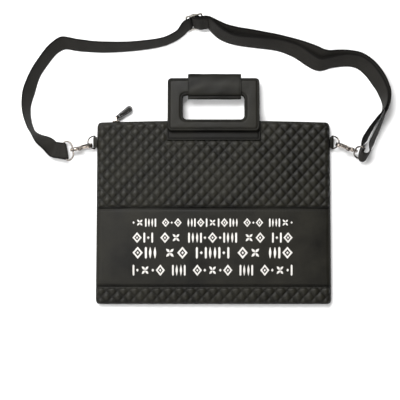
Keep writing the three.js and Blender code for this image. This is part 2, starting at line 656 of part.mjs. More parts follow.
// ---- side rings and hooks ----
const ringHalfWidth = halfWidth(up(RING_LEVEL));
const TAB_ROUND = TAB_REACH - 3.2,
  tabHalf = RING_HALF - RING_WIRE / 2 - 0.4; // it fits between the ring's two bends
const sides = { left: -1, right: 1 };
const hooks = {};
for (const [side, sign] of Object.entries(sides)) {
  // The tab: leather folded round the ring's bar, held in the side seam.
  const pts = [new THREE.Vector2(GAP, -TAB_ROUND)];
  for (let k = 0; k <= 8; k++) {
    const a = -Math.PI / 2 + (Math.PI * k) / 8;
    pts.push(new THREE.Vector2(3.2 + TAB_ROUND * Math.cos(a), TAB_ROUND * Math.sin(a)));
  }
  pts.push(new THREE.Vector2(GAP, TAB_ROUND));
  const hole = Array.from({ length: 12 }, (_, k) => {
    const a = (2 * Math.PI * k) / 12;
    return new THREE.Vector2(3.2 + (RING_WIRE / 2 + 0.5) * Math.cos(a), (RING_WIRE / 2 + 0.5) * Math.sin(a));
  });
  const tab = slab(pts, tabHalf, [hole]);
  tab.applyMatrix4(basis(V(sign * (ringHalfWidth + 0.1), RING_LEVEL, SEAM_LEVEL), V(sign, 0, 0), V(0, 0, 1), V(0, -sign, 0)));
  add(side + "_ring_tab", tab, LEATHER);

  // The D-ring: straight bar inside the tab, bowed wire outside it.
  const origin = V(sign * (ringHalfWidth + 3.3), RING_LEVEL, SEAM_LEVEL),
    outward = V(sign * Math.cos(rad(RING_TILT)), 0, Math.sin(rad(RING_TILT))),
    onRing = (p, q) => origin.clone().addScaledVector(outward, p).add(V(0, q, 0));
  const arch = [];
  for (let a = 78; a >= -78; a -= 12)
    arch.push([RING_DEPTH * Math.cos(rad(a)), RING_HALF * Math.sin(rad(a))]);
  const path = [
    [0, 0.2],
    [0, 0.5 * RING_HALF],
    [0, 0.89 * RING_HALF],
    [0.03 * RING_DEPTH, 0.97 * RING_HALF],
    ...arch,
    [0.03 * RING_DEPTH, -0.97 * RING_HALF],
    [0, -0.89 * RING_HALF],
    [0, -0.5 * RING_HALF],
    [0, -0.2],
  ];
  add(side + "_d_ring", wire(path.map(([p, q]) => onRing(p, q)), RING_WIRE / 2, 30), NICKEL);

  // Where the hook holds the ring, and the hook's own directions.
  const at = side === "left" ? -34 : -24,
    held = onRing(RING_DEPTH * Math.cos(rad(at)), RING_HALF * Math.sin(rad(at)));
  const slope = side === "left" ? rad(-4) : rad(4),
    turn = side === "left" ? rad(180 + 13) : rad(-20);
  const along = V(Math.cos(turn) * Math.cos(slope), Math.sin(turn) * Math.cos(slope), Math.sin(slope));
  const c = 1, // centre of the eye's round end, along the hook
    play = side === "left" ? LEFT_PLAY : RIGHT_PLAY,
    contact = held.clone().addScaledVector(along, EYE_RADIUS - c - RING_WIRE / 2 - play);
  const upright = V(0, 0, 1).addScaledVector(along, -along.z).normalize();
  const level = V().crossVectors(upright, along).normalize();
  if (level.y < 0) level.negate();
  const b = upright.clone().multiplyScalar(Math.cos(rad(HOOK_ROLL))).addScaledVector(level, -Math.sin(rad(HOOK_ROLL)));
  const frame = basis(contact, along, b, V().crossVectors(along, b));
  // The bow turns on the hook's swivel with the strap.
  const lean = side === "left" ? rad(-76) : rad(32);
  const across = upright.clone().multiplyScalar(Math.cos(lean)).addScaledVector(level, Math.sin(lean));
  const bowFrame = basis(contact, along, across, V().crossVectors(along, across));
  hooks[side] = { contact, along, across, out: V().crossVectors(along, across), bar: contact.clone().addScaledVector(along, HOOK_LENGTH) };

  const ri = EYE_RADIUS,
    ro = EYE_RADIUS + EYE_WALL;
  const outline = [[c + 2, ro]];
  for (let k = 0; k <= 10; k++) {
    const a = Math.PI / 2 + (Math.PI * k) / 10;
    outline.push([c + ro * Math.cos(a), ro * Math.sin(a)]);
  }
  outline.push([12.5, -ro], [15.5, -ro * 0.86], [18, -3], [21, -2.8], [21, 2.8], [18, 3], [16.2, ri - 0.3], [14.6, ri - 0.3], [12.6, 1.6], [11.6, -1.2], [10.6, -3.2], [9, -ri]);
  for (let k = 10; k >= 0; k--) {
    const a = Math.PI / 2 + (Math.PI * k) / 10;
    outline.push([c + ri * Math.cos(a), ri * Math.sin(a)]);
  }
  outline.push([c + 2, ri]);
  const cast = new THREE.ExtrudeGeometry(new THREE.Shape(outline.map(([x, y]) => new THREE.Vector2(x, y))), {
    depth: HOOK_DEPTH - 1,
    bevelEnabled: true,
    bevelThickness: 0.5,
    bevelSize: 0.5,
    bevelOffset: -0.5,
    bevelSegments: 1,
  }).translate(0, 0, -(HOOK_DEPTH - 1) / 2);
  const cheek = (z0, z1) => {
    const p = [];
    for (let k = 0; k <= 6; k++) {
      const a = (Math.PI * k) / 6;
      p.push(new THREE.Vector2(14.8 + 2.2 * Math.cos(a), 5.4 + 2.0 * Math.sin(a)));
    }
    p.push(new THREE.Vector2(12.6, 1.2), new THREE.Vector2(17, 1.2));
    return new THREE.ExtrudeGeometry(new THREE.Shape(p), { depth: z1 - z0, bevelEnabled: false }).translate(0, 0, z0);
  };
  // The collar and the swivel's headed post are turned, so they are a lathe about the hook's length.
  const post = new THREE.LatheGeometry(
    [
      [0, 19],
      [3.1, 19],
      [3.4, 20],
      [3.4, 23.4],
      [2.8, 24.2],
      [1.25, 24.2],
      [1.25, 28.4],
      [2.3, 28.4],
      [2.3, 29.6],
      [1.4, 30.3],
      [0, 30.3],
    ].map(([r, s]) => new THREE.Vector2(r, s)),
    12,
  ).rotateZ(-Math.PI / 2);
  const gap = HOOK_DEPTH / 2 - 0.45; // the gate moves between the cheeks
  add(
    side + "_hook_body",
    geometryOf(join(cast, cheek(gap, gap + 0.7), cheek(-gap - 0.7, -gap), post)).applyMatrix4(frame),
    NICKEL,
  );

  // The sprung gate closes the eye; it swings inwards about its foot.
  const nose = c + 2 + 0.35;
  const gateOutline = [
    [nose, ro],
    [nose, ri + 0.1],
    [8, ri],
    [13.4, ri],
    [15.6, ri + 0.1],
    [16.2, 5.4],
    [15.6, ro],
    [13.6, ro + 0.2],
    [12.2, ro - 0.7],
    [10.8, ro],
  ];
  const gate = new THREE.ExtrudeGeometry(new THREE.Shape(gateOutline.map(([x, y]) => new THREE.Vector2(x, y)).reverse()), {
    depth: 2 * gap - 1.6,
    bevelEnabled: true,
    bevelThickness: 0.4,
    bevelSize: 0.4,
    bevelOffset: -0.4,
    bevelSegments: 1,
  }).translate(0, 0, 0.8 - gap);
  add(side + "_hook_gate", gate.applyMatrix4(frame), NICKEL);

  // The bow: a boss that turns on the post, and a wire loop whose straight bar carries the strap.
  const bowHalf = STRAP_WIDTH / 2 + 2.5;
  const boss = solid(tube(3.2, 1.75, 12).rotateY(Math.PI / 2).translate(26.3, 0, 0)).subtract(
    solid(tube(1.65, 3, 12).rotateY(Math.PI / 2).translate(26.3, 0, 0)),
  );
  const loop = (s) =>
    [
      [26.3, 2.4],
      [26.2, 5],
      [27.2, 0.66 * bowHalf],
      [HOOK_LENGTH - 8.2, 0.88 * bowHalf],
      [HOOK_LENGTH - 5, bowHalf],
      [HOOK_LENGTH - 2, bowHalf],
      [HOOK_LENGTH - 0.4, bowHalf - 0.9],
      [HOOK_LENGTH, bowHalf - 2.6],
      [HOOK_LENGTH, 0.4 * bowHalf],
    ].map(([p, q]) => V(p, s * q, 0));
  const bowPath = [...loop(1), ...loop(-1).reverse()];
  add(side + "_hook_bow", geometryOf(boss.add(solid(wire(bowPath, BOW_WIRE / 2, 34)))).applyMatrix4(bowFrame), NICKEL);
}

// ---- adjuster and strap ----
const slideOut = V(-Math.sin(rad(SLIDE_TURN)), Math.cos(rad(SLIDE_TURN)), 0);
const slideAlong = V(Math.cos(rad(SLIDE_TURN)), Math.sin(rad(SLIDE_TURN)), 0);
const slideAcross = V(0, 0, Math.cos(rad(SLIDE_LEAN))).addScaledVector(slideOut, Math.sin(rad(SLIDE_LEAN)));
const slideFace = slideOut.clone().multiplyScalar(Math.cos(rad(SLIDE_LEAN))).add(V(0, 0, -Math.sin(rad(SLIDE_LEAN))));
const windowHalf = STRAP_WIDTH / 2 + 0.6,
  slideHalf = windowHalf + 2.3;
const slideAt = V(
  STRAP_MIDDLE - 0.064 * (STRAP_SPREAD / 2),
  RING_LEVEL + 0.926 * STRAP_REACH,
  0.8 + slideHalf * Math.cos(rad(SLIDE_LEAN)) + (SLIDE_THICKNESS / 2) * Math.sin(rad(SLIDE_LEAN)),
);
const slideFrame = basis(slideAt, slideAlong, slideAcross, V().crossVectors(slideAlong, slideAcross));
const rail = SLIDE_LENGTH / 2 - 2.6,
  barRadius = 1.4,
  t2 = SLIDE_THICKNESS / 2;
const slideBody = solid(box(-SLIDE_LENGTH / 2, SLIDE_LENGTH / 2, -slideHalf, slideHalf, -t2, t2))
  .subtract(solid(box(-rail, rail, -windowHalf, windowHalf, -5, 5)))
  .add(solid(new THREE.CylinderGeometry(barRadius, barRadius, 2 * windowHalf + 2, 12)));
add("strap_adjuster", geometryOf(slideBody).applyMatrix4(slideFrame), NICKEL);

// The strap's course as rows of centre and width direction. n is measured outwards from the slide.
const rows = [];
const onSlide = (s, n) =>
  rows.push({ p: slideAt.clone().addScaledVector(slideAlong, s).addScaledVector(slideFace, n), w: slideAcross, fine: true });
const loopRadius = barRadius + 0.5 + STRAP_THICKNESS / 2;
const T = STRAP_THICKNESS / 1.8,
  L = SLIDE_LENGTH / 27;
[
  [19, -8.9 * T],
  [12.5, -7.6 * T],
  [7.5, -7.1 * T],
  [4, -5.6 * T],
  [1.6, -3.4 * T],
].forEach(([s, n]) => onSlide(s * L, n));
for (let k = 0; k <= 5; k++) {
  const a = rad(-90 - 45 * k);
  onSlide(loopRadius * Math.cos(a), loopRadius * Math.sin(a));
}
[
  [3.3, -0.6 * T],
  [5.2, -3.7 * T],
  [8, -5 * T],
  [12.5, -5.3 * T],
  [18, -6.4 * T],
].forEach(([s, n]) => onSlide(s * L, n));

// Rows of the free spans: turned from shares into places. The rows near a bow go with its bar, wherever
// the pouch's own sizes put it.
function route(table, barShare, bar) {
  const place = ([a, u]) => V(STRAP_MIDDLE + (a * STRAP_SPREAD) / 2, RING_LEVEL + u * STRAP_REACH, 0),
    expected = place(barShare),
    shift = bar.clone().sub(expected).setZ(0);
  const at = table.map((row) => {
    const p = place(row),
      far = Math.min(1, Math.max(0, p.distanceTo(expected) / STRAP_REACH - 0.2) / 0.55);
    return p.addScaledVector(shift, 1 - far * far * (3 - 2 * far));
  });
  return table.map(([, , lean, apart = 0], k) => {
    const t = at[Math.min(k + 1, at.length - 1)].clone().sub(at[Math.max(k - 1, 0)]).normalize();
    return { at: at[k], t, lean: rad(lean), apart };
  });
}
const standing = (w, n) => 0.5 + (STRAP_WIDTH / 2) * Math.abs(w.z) + (STRAP_THICKNESS / 2) * Math.abs(n.z);
function free(list, outwardSign, offset, start, end) {
  list.forEach((r, k) => {
    const out = V(-r.t.y, r.t.x, 0).multiplyScalar(outwardSign),
      w = V(0, 0, Math.cos(r.lean)).addScaledVector(out, Math.sin(r.lean)),
      n = V().crossVectors(r.t, w),
      p = r.at.clone().addScaledVector(out, offset ? r.apart * STRAP_THICKNESS : 0),
      floor = standing(w, n);
    const lift = (from) => Math.max(0, 1 - p.clone().setZ(0).distanceTo(from.clone().setZ(0)) / 70);
    p.z = floor + Math.max(0, start.z - floor) * lift(start) ** 2 + Math.max(0, end.z - floor) * lift(end) ** 2;
    rows.push({ p, w });
  });
}
const right = hooks.right,
  left = hooks.left;
free(route(PAIR, PAIR_BAR, right.bar), 1, false, slideAt, right.bar);
// The loose loop round the right bow's bar: along the hook and outwards from it.
const onBow = (h, a, m, slant = 0) =>
  rows.push({
    p: h.bar.clone().addScaledVector(h.along, a).addScaledVector(h.out, m)
      .addScaledVector(h.across, -a * Math.tan(rad(slant))),
    w: h.across,
    fine: true,
  });
[
  [-4.3, -6.5],
  [-3.2, -1.4],
  [-2, 3.4],
  [0.9, 6.4],
  [4.4, 6.6],
  [7.4, 4.2],
  [9, 0],
  [10, -5],
].forEach(([a, m]) => onBow(right, a, m));
free(route(PAIR, PAIR_BAR, right.bar).reverse(), 1, true, right.bar, slideAt);
[
  [18, -4.2 * T],
  [12.5, -3.1 * T],
  [8.6, -2.5 * T],
  [6.3, 0.5 * T],
  [3.6, 4 * T],
  [0, 4.95 * T],
  [-3.6, 4 * T],
  [-6.3, 0.5 * T],
  [-8.6, -2.5 * T],
  [-12.5, -3 * T],
].forEach(([s, n]) => onSlide(s * L, n));
free(route(SINGLE, SINGLE_BAR, left.bar), -1, false, slideAt, left.bar);
// Round the left bow's bar, and the sewn end laid back on the strap.
const pairGap = STRAP_THICKNESS / 2 + GAP / 2,
  bowLoop = BOW_WIRE / 2 + 0.5 + STRAP_THICKNESS / 2;
onBow(left, 17, -pairGap, STRAP_SLANT);
onBow(left, 9, -pairGap - 0.2, STRAP_SLANT);
onBow(left, 3, -bowLoop + 0.2, STRAP_SLANT);
for (let k = 0; k <= 4; k++) {
  const a = rad(-90 - 45 * k);
  onBow(left, bowLoop * Math.cos(a), bowLoop * Math.sin(a));
}
onBow(left, 3, bowLoop - 0.2, STRAP_SLANT);
onBow(left, 9, pairGap + 0.2, STRAP_SLANT);
onBow(left, 16.5, pairGap, STRAP_SLANT);

const course = new THREE.CatmullRomCurve3(rows.map((r) => r.p), false, "centripetal");
const sections = [];
const widthAt = (k, f) => rows[k].w.clone().lerp(rows[Math.min(k + 1, rows.length - 1)].w, f * f * (3 - 2 * f));
for (let k = 0; k < rows.length - 1; k++) {
  const length = rows[k].p.distanceTo(rows[k + 1].p),
    steps = rows[k].fine && rows[k + 1].fine ? 1 : Math.max(1, Math.round(length / 12));
  for (let i = 0; i < steps; i++) sections.push([k, i / steps]);
}
sections.push([rows.length - 1, 0]);
const strap = sections.map(([k, f]) => {
  const s = (k + f) / (rows.length - 1),
    p = course.getPoint(s),
    t = course.getTangent(s),
    w = widthAt(k, f);
  w.addScaledVector(t, -w.dot(t)).normalize();
  const n = V().crossVectors(t, w).normalize();
  return [
    [1, 1],
    [-1, 1],
    [-1, -1],
    [1, -1],
  ].map(([a, b]) =>
    p.clone().addScaledVector(w, (a * STRAP_WIDTH) / 2).addScaledVector(n, (b * STRAP_THICKNESS) / 2),
  );
});
add("strap", bar(strap), WEBBING);

export default bag;
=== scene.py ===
# %% [markdown]
# # A flat zipped bag of quilted leather
# The bag lies on its back and is seen from straight above. Its front is an upper panel quilted in
# diamonds, a smooth band with embroidery, and a quilted hem. A zip closes the mouth. A stiff handle
# is sewn to the front, and a woven shoulder strap hangs on two side rings by swivel hooks.
#
# The solid model of the bag is already made and fixed. Here every soft piece gets its real surface,
# the stitches and threads are laid, and each finish is mixed from nodes. The solid model is loaded
# first, because every piece made here has to sit on it.

# %% Load the fixed model
import math

import bmesh
import bpy
import numpy as np
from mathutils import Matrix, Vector


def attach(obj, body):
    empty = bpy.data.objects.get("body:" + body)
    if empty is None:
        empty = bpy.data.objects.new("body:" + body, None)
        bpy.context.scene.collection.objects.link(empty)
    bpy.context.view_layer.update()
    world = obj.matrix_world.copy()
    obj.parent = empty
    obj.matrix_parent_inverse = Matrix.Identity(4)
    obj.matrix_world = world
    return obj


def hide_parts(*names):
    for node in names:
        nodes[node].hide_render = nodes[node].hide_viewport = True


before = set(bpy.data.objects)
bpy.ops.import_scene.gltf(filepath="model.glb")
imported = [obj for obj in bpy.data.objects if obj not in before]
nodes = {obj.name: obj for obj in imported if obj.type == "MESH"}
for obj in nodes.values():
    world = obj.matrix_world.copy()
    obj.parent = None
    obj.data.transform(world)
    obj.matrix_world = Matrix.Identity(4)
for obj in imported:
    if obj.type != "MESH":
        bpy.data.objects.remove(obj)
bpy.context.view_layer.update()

# %% [markdown]
# ## Camera
# The photograph is a flat lay taken from high above, so the camera looks straight down with a long
# lens, and perspective hardly shows. One pixel of the 400 pixel picture is 1.55 mm on the bag.

# %% Camera above the bag
PIXEL, PICTURE_PIXELS = 0.00155, 400
PICTURE_CENTRE, BAG_LEVEL = (-0.0209, 0.0194), 0.012
LENS, SENSOR = 100.0, 36.0


def placed(name, data):
    """A new object in the scene that holds a mesh, a lamp or a camera."""
    made = bpy.data.objects.new(name, data)
    bpy.context.scene.collection.objects.link(made)
    return made


lens = bpy.data.cameras.new("camera_above")
lens.lens, lens.sensor_width = LENS, SENSOR
camera = placed("camera_above", lens)
camera_height = PICTURE_PIXELS * PIXEL * LENS / SENSOR
camera.location = (*PICTURE_CENTRE, BAG_LEVEL + camera_height)
bpy.context.scene.camera = camera
print("camera height, m:", round(camera_height, 3))

# %% [markdown]
# ## Table and light
# A pale table and large soft lamps. The main lamp stands behind the top of the picture, so each
# quilted diamond is bright on its upper side and shades off below, as in the photograph. A weaker
# lamp fills from below, one more stands at the left, and a faint pale sky softens the shadows.


# %% Table
def new_finish(name, constants):
    """A finish on the principled shader, with the values that hold for its whole surface."""
    finish = bpy.data.materials.new(name)
    finish.use_nodes = True
    shader = finish.node_tree.nodes["Principled BSDF"]
    for socket, value in constants.items():
        shader.inputs[socket].default_value = value
    return finish, finish.node_tree, shader


TABLE_HALF, TABLE_LEVEL = 4.0, -0.0004
table_mesh = bpy.data.meshes.new("table")
corners = [(x * TABLE_HALF, y * TABLE_HALF, TABLE_LEVEL) for x, y in ((-1, -1), (1, -1), (1, 1), (-1, 1))]
table_mesh.from_pydata(corners, [], [(0, 1, 2, 3)])
table = placed("table", table_mesh)
paint = {"Base Color": (0.93, 0.93, 0.93, 1), "Roughness": 0.9, "Specular IOR Level": 0.1}
table_mesh.materials.append(new_finish("table_paint", paint)[0])


# %% Lamps and sky
def soft_lamp(name, place, size, power, aim=(0, 0.03, 0)):
    data = bpy.data.lights.new(name, "AREA")
    data.shape = "RECTANGLE"
    data.size, data.size_y = size
    data.energy = power
    lamp = placed(name, data)
    lamp.location = place
    lamp.rotation_mode = "QUATERNION"
    lamp.rotation_quaternion = (Vector(aim) - Vector(place)).to_track_quat("-Z", "Y")


soft_lamp("key_lamp", (-0.45, 0.95, 1.6), (1.3, 0.8), 55)
soft_lamp("side_lamp", (-1.3, 0.0, 1.5), (0.8, 1.2), 12)
soft_lamp("fill_lamp", (-0.25, -1.05, 1.5), (1.3, 0.9), 13)

sky = bpy.data.worlds.new("sky")
sky.use_nodes = True
sky.node_tree.nodes["Background"].inputs["Color"].default_value = (1.0, 0.995, 0.985, 1)
sky.node_tree.nodes["Background"].inputs["Strength"].default_value = 0.14
bpy.context.scene.world = sky
bpy.context.scene.view_settings.view_transform = "Standard"

# %% [markdown]
# ## Finishes
# Each finish is a small node network on the principled shader. Leather has a pebbled grain of about
# a millimetre, finer pores, and slow changes of tone and gloss. The mesh carries painted light and
# shade in an attribute: tops of the quilting and padding are painted lighter as a highlight and are a
# little smoother, and grooves, seams and upright sides are painted darker as shade. Webbing and zip
# tape are woven, so their pattern follows the piece.
#
# A network is easier to read as a sum than as boxes. A signal is one output of a node, and sums and
# products of signals add the nodes that work them out.


# %% Signals between nodes
class Signal:
    """One output of a node."""

    def __init__(self, socket):
        self.socket = socket

    def __getitem__(self, name):
        """Another output of the same node."""
        return Signal(self.socket.node.outputs[name])

    def then(self, kind, inputs=None, **settings):
        """A further node in the same tree."""
        return add_node(self.socket.id_data, kind, inputs, **settings)

    def maths(self, operation, *others):
        return self.then("ShaderNodeMath", dict(enumerate((self, *others))), operation=operation)

    def __add__(self, other):
        return self.maths("ADD", other)

    def __sub__(self, other):
        return self.maths("SUBTRACT", other)

    def __mul__(self, other):
        return self.maths("MULTIPLY", other)

    def __truediv__(self, other):
        return self.maths("DIVIDE", other)

    def ranged(self, low, high, from_low=0.0, from_high=1.0):
        limits = {"From Min": from_low, "From Max": from_high, "To Min": low, "To Max": high}
        return self.then("ShaderNodeMapRange", {"Value": self, **limits})

    def blend(self, dark, light):
        """Goes from one colour to another. The mix node's colour sockets are 6, 7 and 2."""
        inputs = {"Factor": self, 6: (*dark, 1), 7: (*light, 1)}
        return self.then("ShaderNodeMix", inputs, data_type="RGBA")[2]


def add_node(tree, kind, inputs=None, **settings):
    """Adds a node, gives its inputs values or signals, and gives back its first output."""
    node = tree.nodes.new(kind)
    for key, value in settings.items():
        setattr(node, key, value)
    for key, value in (inputs or {}).items():
        if isinstance(value, Signal):
            tree.links.new(value.socket, node.inputs[key])
        else:
            node.inputs[key].default_value = value
    return Signal(node.outputs[0])


def noise(where, scale, detail=2.0, **more):
    return where.then("ShaderNodeTexNoise", {"Vector": where, "Scale": scale, "Detail": detail, **more})


def coat(shader, colour, rough, height, strength, distance):
    """Joins a colour, a roughness and a height to the shader."""
    bump = height.then("ShaderNodeBump", {"Height": height, "Strength": strength, "Distance": distance})
    for socket, signal in (("Base Color", colour), ("Roughness", rough), ("Normal", bump)):
        shader.id_data.links.new(signal.socket, shader.inputs[socket])


# %% [markdown]
# ### Leather
# Grain leather could be a picture, but cells from a Voronoi texture give the same pebbles at any
# distance: the distance to a cell's edge is the valley between two pebbles. The cells and a finer
# noise are added as one height, which the bump node turns into shading.


# %% Leather finish
def leather(name, dark, light, grain, depth, gloss, shine):
    finish, tree, shader = new_finish(name, {"Specular IOR Level": shine})
    place = add_node(tree, "ShaderNodeTexCoord")["Object"]
    warp = {0: noise(place, 0.35 / grain)["Color"], 1: (0.6 * grain,) * 3, 2: place}
    bent = place.then("ShaderNodeVectorMath", warp, operation="MULTIPLY_ADD")
    pebbles = {"Vector": bent, "Scale": 1 / grain}
    cells = place.then("ShaderNodeTexVoronoi", pebbles, feature="DISTANCE_TO_EDGE")
    cells = cells.ranged(0.0, 1.0, 0.0, 0.28)
    pores = noise(place, 2.4 / grain, 3.0)
    slow = noise(place, 22.0, 4.0, Roughness=0.55)
    # Painted light: this attribute lightens the tone as a highlight and darkens it as shade, and lowers the
    # roughness a little where it is high.
    rub_and_painted_light = add_node(tree, "ShaderNodeAttribute", attribute_name="rub_and_painted_light")["Fac"]
    tone = slow.ranged(0.0, 0.7, 0.32, 0.68) + (cells * 0.2 + rub_and_painted_light * 0.45)
    rough = slow.ranged(*gloss, 0.3, 0.7) - rub_and_painted_light * 0.07
    coat(shader, tone.blend(dark, light), rough, cells + pores * 0.45, 0.55, depth)
    return finish


# Values: the grain's size and depth in metres, the range of roughness, and the strength of gloss.
quilted_leather = leather(
    "quilted_leather", (0.0022, 0.002, 0.0013), (0.0135, 0.0126, 0.0086), 0.00105, 0.00011, (0.44, 0.56), 0.18
)
smooth_leather = leather(
    "smooth_leather", (0.0028, 0.0025, 0.0017), (0.0152, 0.014, 0.0098), 0.0009, 0.00008, (0.45, 0.58), 0.18
)
handle_leather = leather(
    "handle_leather", (0.0022, 0.002, 0.0014), (0.0115, 0.0107, 0.0077), 0.0008, 0.00008, (0.44, 0.56), 0.14
)
inlay_leather = leather(
    "inlay_leather", (0.003, 0.0025, 0.002), (0.013, 0.011, 0.009), 0.0008, 0.00011, (0.4, 0.56), 0.14
)
print("leathers:", [m.name for m in bpy.data.materials if "leather" in m.name])


# %% [markdown]
# ### Woven strap and zip tape
# Strap webbing is a heavy weave: thick warp cords run along it, and a finer weft crosses them at
# every millimetre. The UV map holds millimetres along and across the strap, so two sine waves make
# the cords and the crossings, and each cord's crossings are shifted by half a step. The zip's tape
# is so fine that two plain waves are enough for it.


# %% Woven finishes
def woven(name, dark, light, cord_pitch, weft_pitch, depth, roughness):
    constants = {"Specular IOR Level": 0.12, "Sheen Weight": 0.012, "Sheen Roughness": 0.5}
    finish, tree, shader = new_finish(name, constants)
    uv = add_node(tree, "ShaderNodeUVMap", uv_map="millimetres")
    parts = uv.then("ShaderNodeSeparateXYZ", {"Vector": uv})
    across = parts["Y"] + noise(uv, 0.22).ranged(-0.15 * cord_pitch, 0.15 * cord_pitch)
    cords = (across * (math.pi / cord_pitch)).maths("SINE").maths("ABSOLUTE")
    odd = (across / cord_pitch).maths("FLOOR").maths("FLOORED_MODULO", 2.0)
    weft = ((parts["X"] / weft_pitch + odd * 0.5) * math.pi).maths("SINE").maths("ABSOLUTE")
    height = cords.maths("POWER", 0.6) * weft.maths("POWER", 0.5) + noise(uv, 3.2, 3.0) * 0.3
    selvedge = parts["Y"].maths("ABSOLUTE").ranged(1.0, 0.25, 9.6, 11.4)
    tone = (height * 0.55 + noise(uv, 0.03, 3.0) * 0.5) * selvedge
    rough = height.ranged(roughness + 0.08, roughness - 0.06)
    coat(shader, tone.blend(dark, light), rough, height, 0.8, depth)
    return finish


def fine_tape(name, dark, light, ribs, rows):
    finish, tree, shader = new_finish(name, {})
    place = add_node(tree, "ShaderNodeTexCoord")["Object"]
    parts = place.then("ShaderNodeSeparateXYZ", {"Vector": place})
    waves = [(parts[axis] * (2 * math.pi / pitch)).maths("SINE") for axis, pitch in zip("XZ", (ribs, rows))]
    slow = noise(place, 300.0, 3.0)
    coat(shader, slow.blend(dark, light), slow.ranged(0.7, 0.88), waves[0] * waves[1], 0.6, 0.0001)
    return finish


webbing = woven("strap_webbing", (0.001, 0.0009, 0.0008), (0.022, 0.0203, 0.0176), 1.55, 1.2, 0.00024, 0.7)
zip_tape = fine_tape("zip_tape", (0.005, 0.005, 0.005), (0.02, 0.019, 0.018), 0.0008, 0.0006)

# %% [markdown]
# ### Thread and metals
# Sewing thread is a slightly shiny twist. The embroidery thread is off-white, and every single
# thread has its own tone, which the mesh carries as the attribute "tone". The bright fittings are
# nickel plate: a warm grey metal with faint polishing marks. The puller and the zip's teeth are
# blackened metal.


# %% Thread and metal finishes
def thread_finish(name, dark, light, roughness):
    finish, tree, shader = new_finish(name, {"Specular IOR Level": 0.25})
    fibre = noise(add_node(tree, "ShaderNodeTexCoord")["Object"], 2600.0)
    tone = add_node(tree, "ShaderNodeAttribute", attribute_name="tone")["Fac"] * 0.55 + fibre * 0.45
    rough = fibre.ranged(roughness - 0.08, roughness + 0.1)
    coat(shader, tone.blend(dark, light), rough, fibre, 0.35, 0.0001)
    return finish


def metal(name, dark, light, roughness, metallic):
    finish, tree, shader = new_finish(name, {"Metallic": metallic})
    place = add_node(tree, "ShaderNodeTexCoord")["Object"]
    cloud = noise(place, 160.0, 4.0)
    stretched = place.then("ShaderNodeMapping", {"Vector": place, "Scale": (260.0, 2400.0, 2400.0)})
    marks = noise(stretched, 1.0)
    rough = (cloud * 0.6 + marks * 0.4).ranged(*roughness, 0.3, 0.7)
    coat(shader, cloud.blend(dark, light), rough, marks, 0.12, 0.00005)
    return finish


embroidery_thread = thread_finish("embroidery_thread", (0.5, 0.485, 0.455), (0.82, 0.8, 0.77), 0.5)
sewing_thread = thread_finish("sewing_thread", (0.002, 0.0019, 0.0017), (0.01, 0.0095, 0.0085), 0.6)
# The nickel is kept darker than bright plate: painted shade for the dark studio it would reflect.
nickel = metal("nickel", (0.2, 0.172, 0.15), (0.32, 0.282, 0.25), (0.14, 0.26), 1.0)
# A darker copy of the nickel for the bent wires: painted shade, so they read dark against the white table.
wire_nickel_painted_shade = metal("wire_nickel_painted_shade", (0.1, 0.088, 0.078), (0.17, 0.152, 0.136), (0.18, 0.3), 1.0)
# A lighter copy of the nickel for the slide: a painted highlight, so its bar reads bright.
slide_metal_painted_highlight = metal("slide_metal_painted_highlight", (0.42, 0.39, 0.34), (0.6, 0.57, 0.52), (0.26, 0.38), 0.9)
black_metal = metal("black_metal", (0.005, 0.0048, 0.0045), (0.016, 0.0152, 0.0142), (0.3, 0.44), 0.7)

# %% [markdown]
# ## Helpers for meshes
# Lengths are in millimetres, as a maker would say them, until a mesh is made: Blender's frame is in
# metres. Soft pieces are grids of points, so three helpers are enough for most of them. One closes
# an outer and an inner grid into a wall, one joins closed loops into a ring, which is what a padded
# frame, a sleeve and a bent wire are, and one makes a rod with two flat ends.

# %% Making a piece from points and faces
MM = 0.001


def finish_piece(piece, finish, body="bag", stands_for=None, sharp=40):
    """Gives a piece its finish and its body, and hides the node it stands for, where there is one."""
    piece.data.polygons.foreach_set("use_smooth", [True] * len(piece.data.polygons))
    piece.data.set_sharp_from_angle(angle=math.radians(sharp))
    piece.data.materials.clear()
    piece.data.materials.append(finish)
    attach(piece, body)
    if stands_for:
        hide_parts(stands_for)
    triangles = sum(len(p.vertices) - 2 for p in piece.data.polygons)
    print(f"{piece.name}: {triangles} triangles")
    return piece


def steepness(mesh):
    """1 where a surface stands upright, 0 where it lies level: upright sides get painted shade."""
    normals = np.zeros(3 * len(mesh.vertices), np.float32)
    mesh.vertex_normals.foreach_get("vector", normals)
    lying = np.clip((np.abs(normals[2::3]) - 0.3) / 0.55, 0, 1)
    return 1 - lying * lying * (3 - 2 * lying)


def write_points(mesh, name, kind, field, values):
    """Writes a value or a vector for each point of the mesh."""
    layer = mesh.attributes.new(name, kind, "POINT")
    layer.data.foreach_set(field, np.asarray(values, np.float32).ravel())


def new_object(name, points, faces, rub_and_painted_light=None, uv=None):
    mesh = bpy.data.meshes.new(name)
    mesh.from_pydata((np.asarray(points, float) * MM).tolist(), [], [tuple(map(int, f)) for f in faces])
    if rub_and_painted_light is not None:
        # Upright sides are painted darker: painted shade where the surface turns away from the lamps above.
        write_points(mesh, "rub_and_painted_light", "FLOAT", "value", np.ravel(rub_and_painted_light) - 1.15 * steepness(mesh))
    if uv is not None:
        layer = mesh.uv_layers.new(name="millimetres")
        corner = np.zeros(len(mesh.loops), int)
        mesh.loops.foreach_get("vertex_index", corner)
        layer.data.foreach_set("uv", np.asarray(uv, np.float32)[corner].ravel())
    return placed(name, mesh)


def as_left(piece, name):
    """The piece as its modifiers leave it, as a plain object."""
    view = bpy.context.evaluated_depsgraph_get()
    mesh = bpy.data.meshes.new_from_object(piece.evaluated_get(view), depsgraph=view)
    old = piece.data
    bpy.data.objects.remove(piece)
    bpy.data.meshes.remove(old)
    mesh.name = name
    return placed(name, mesh)


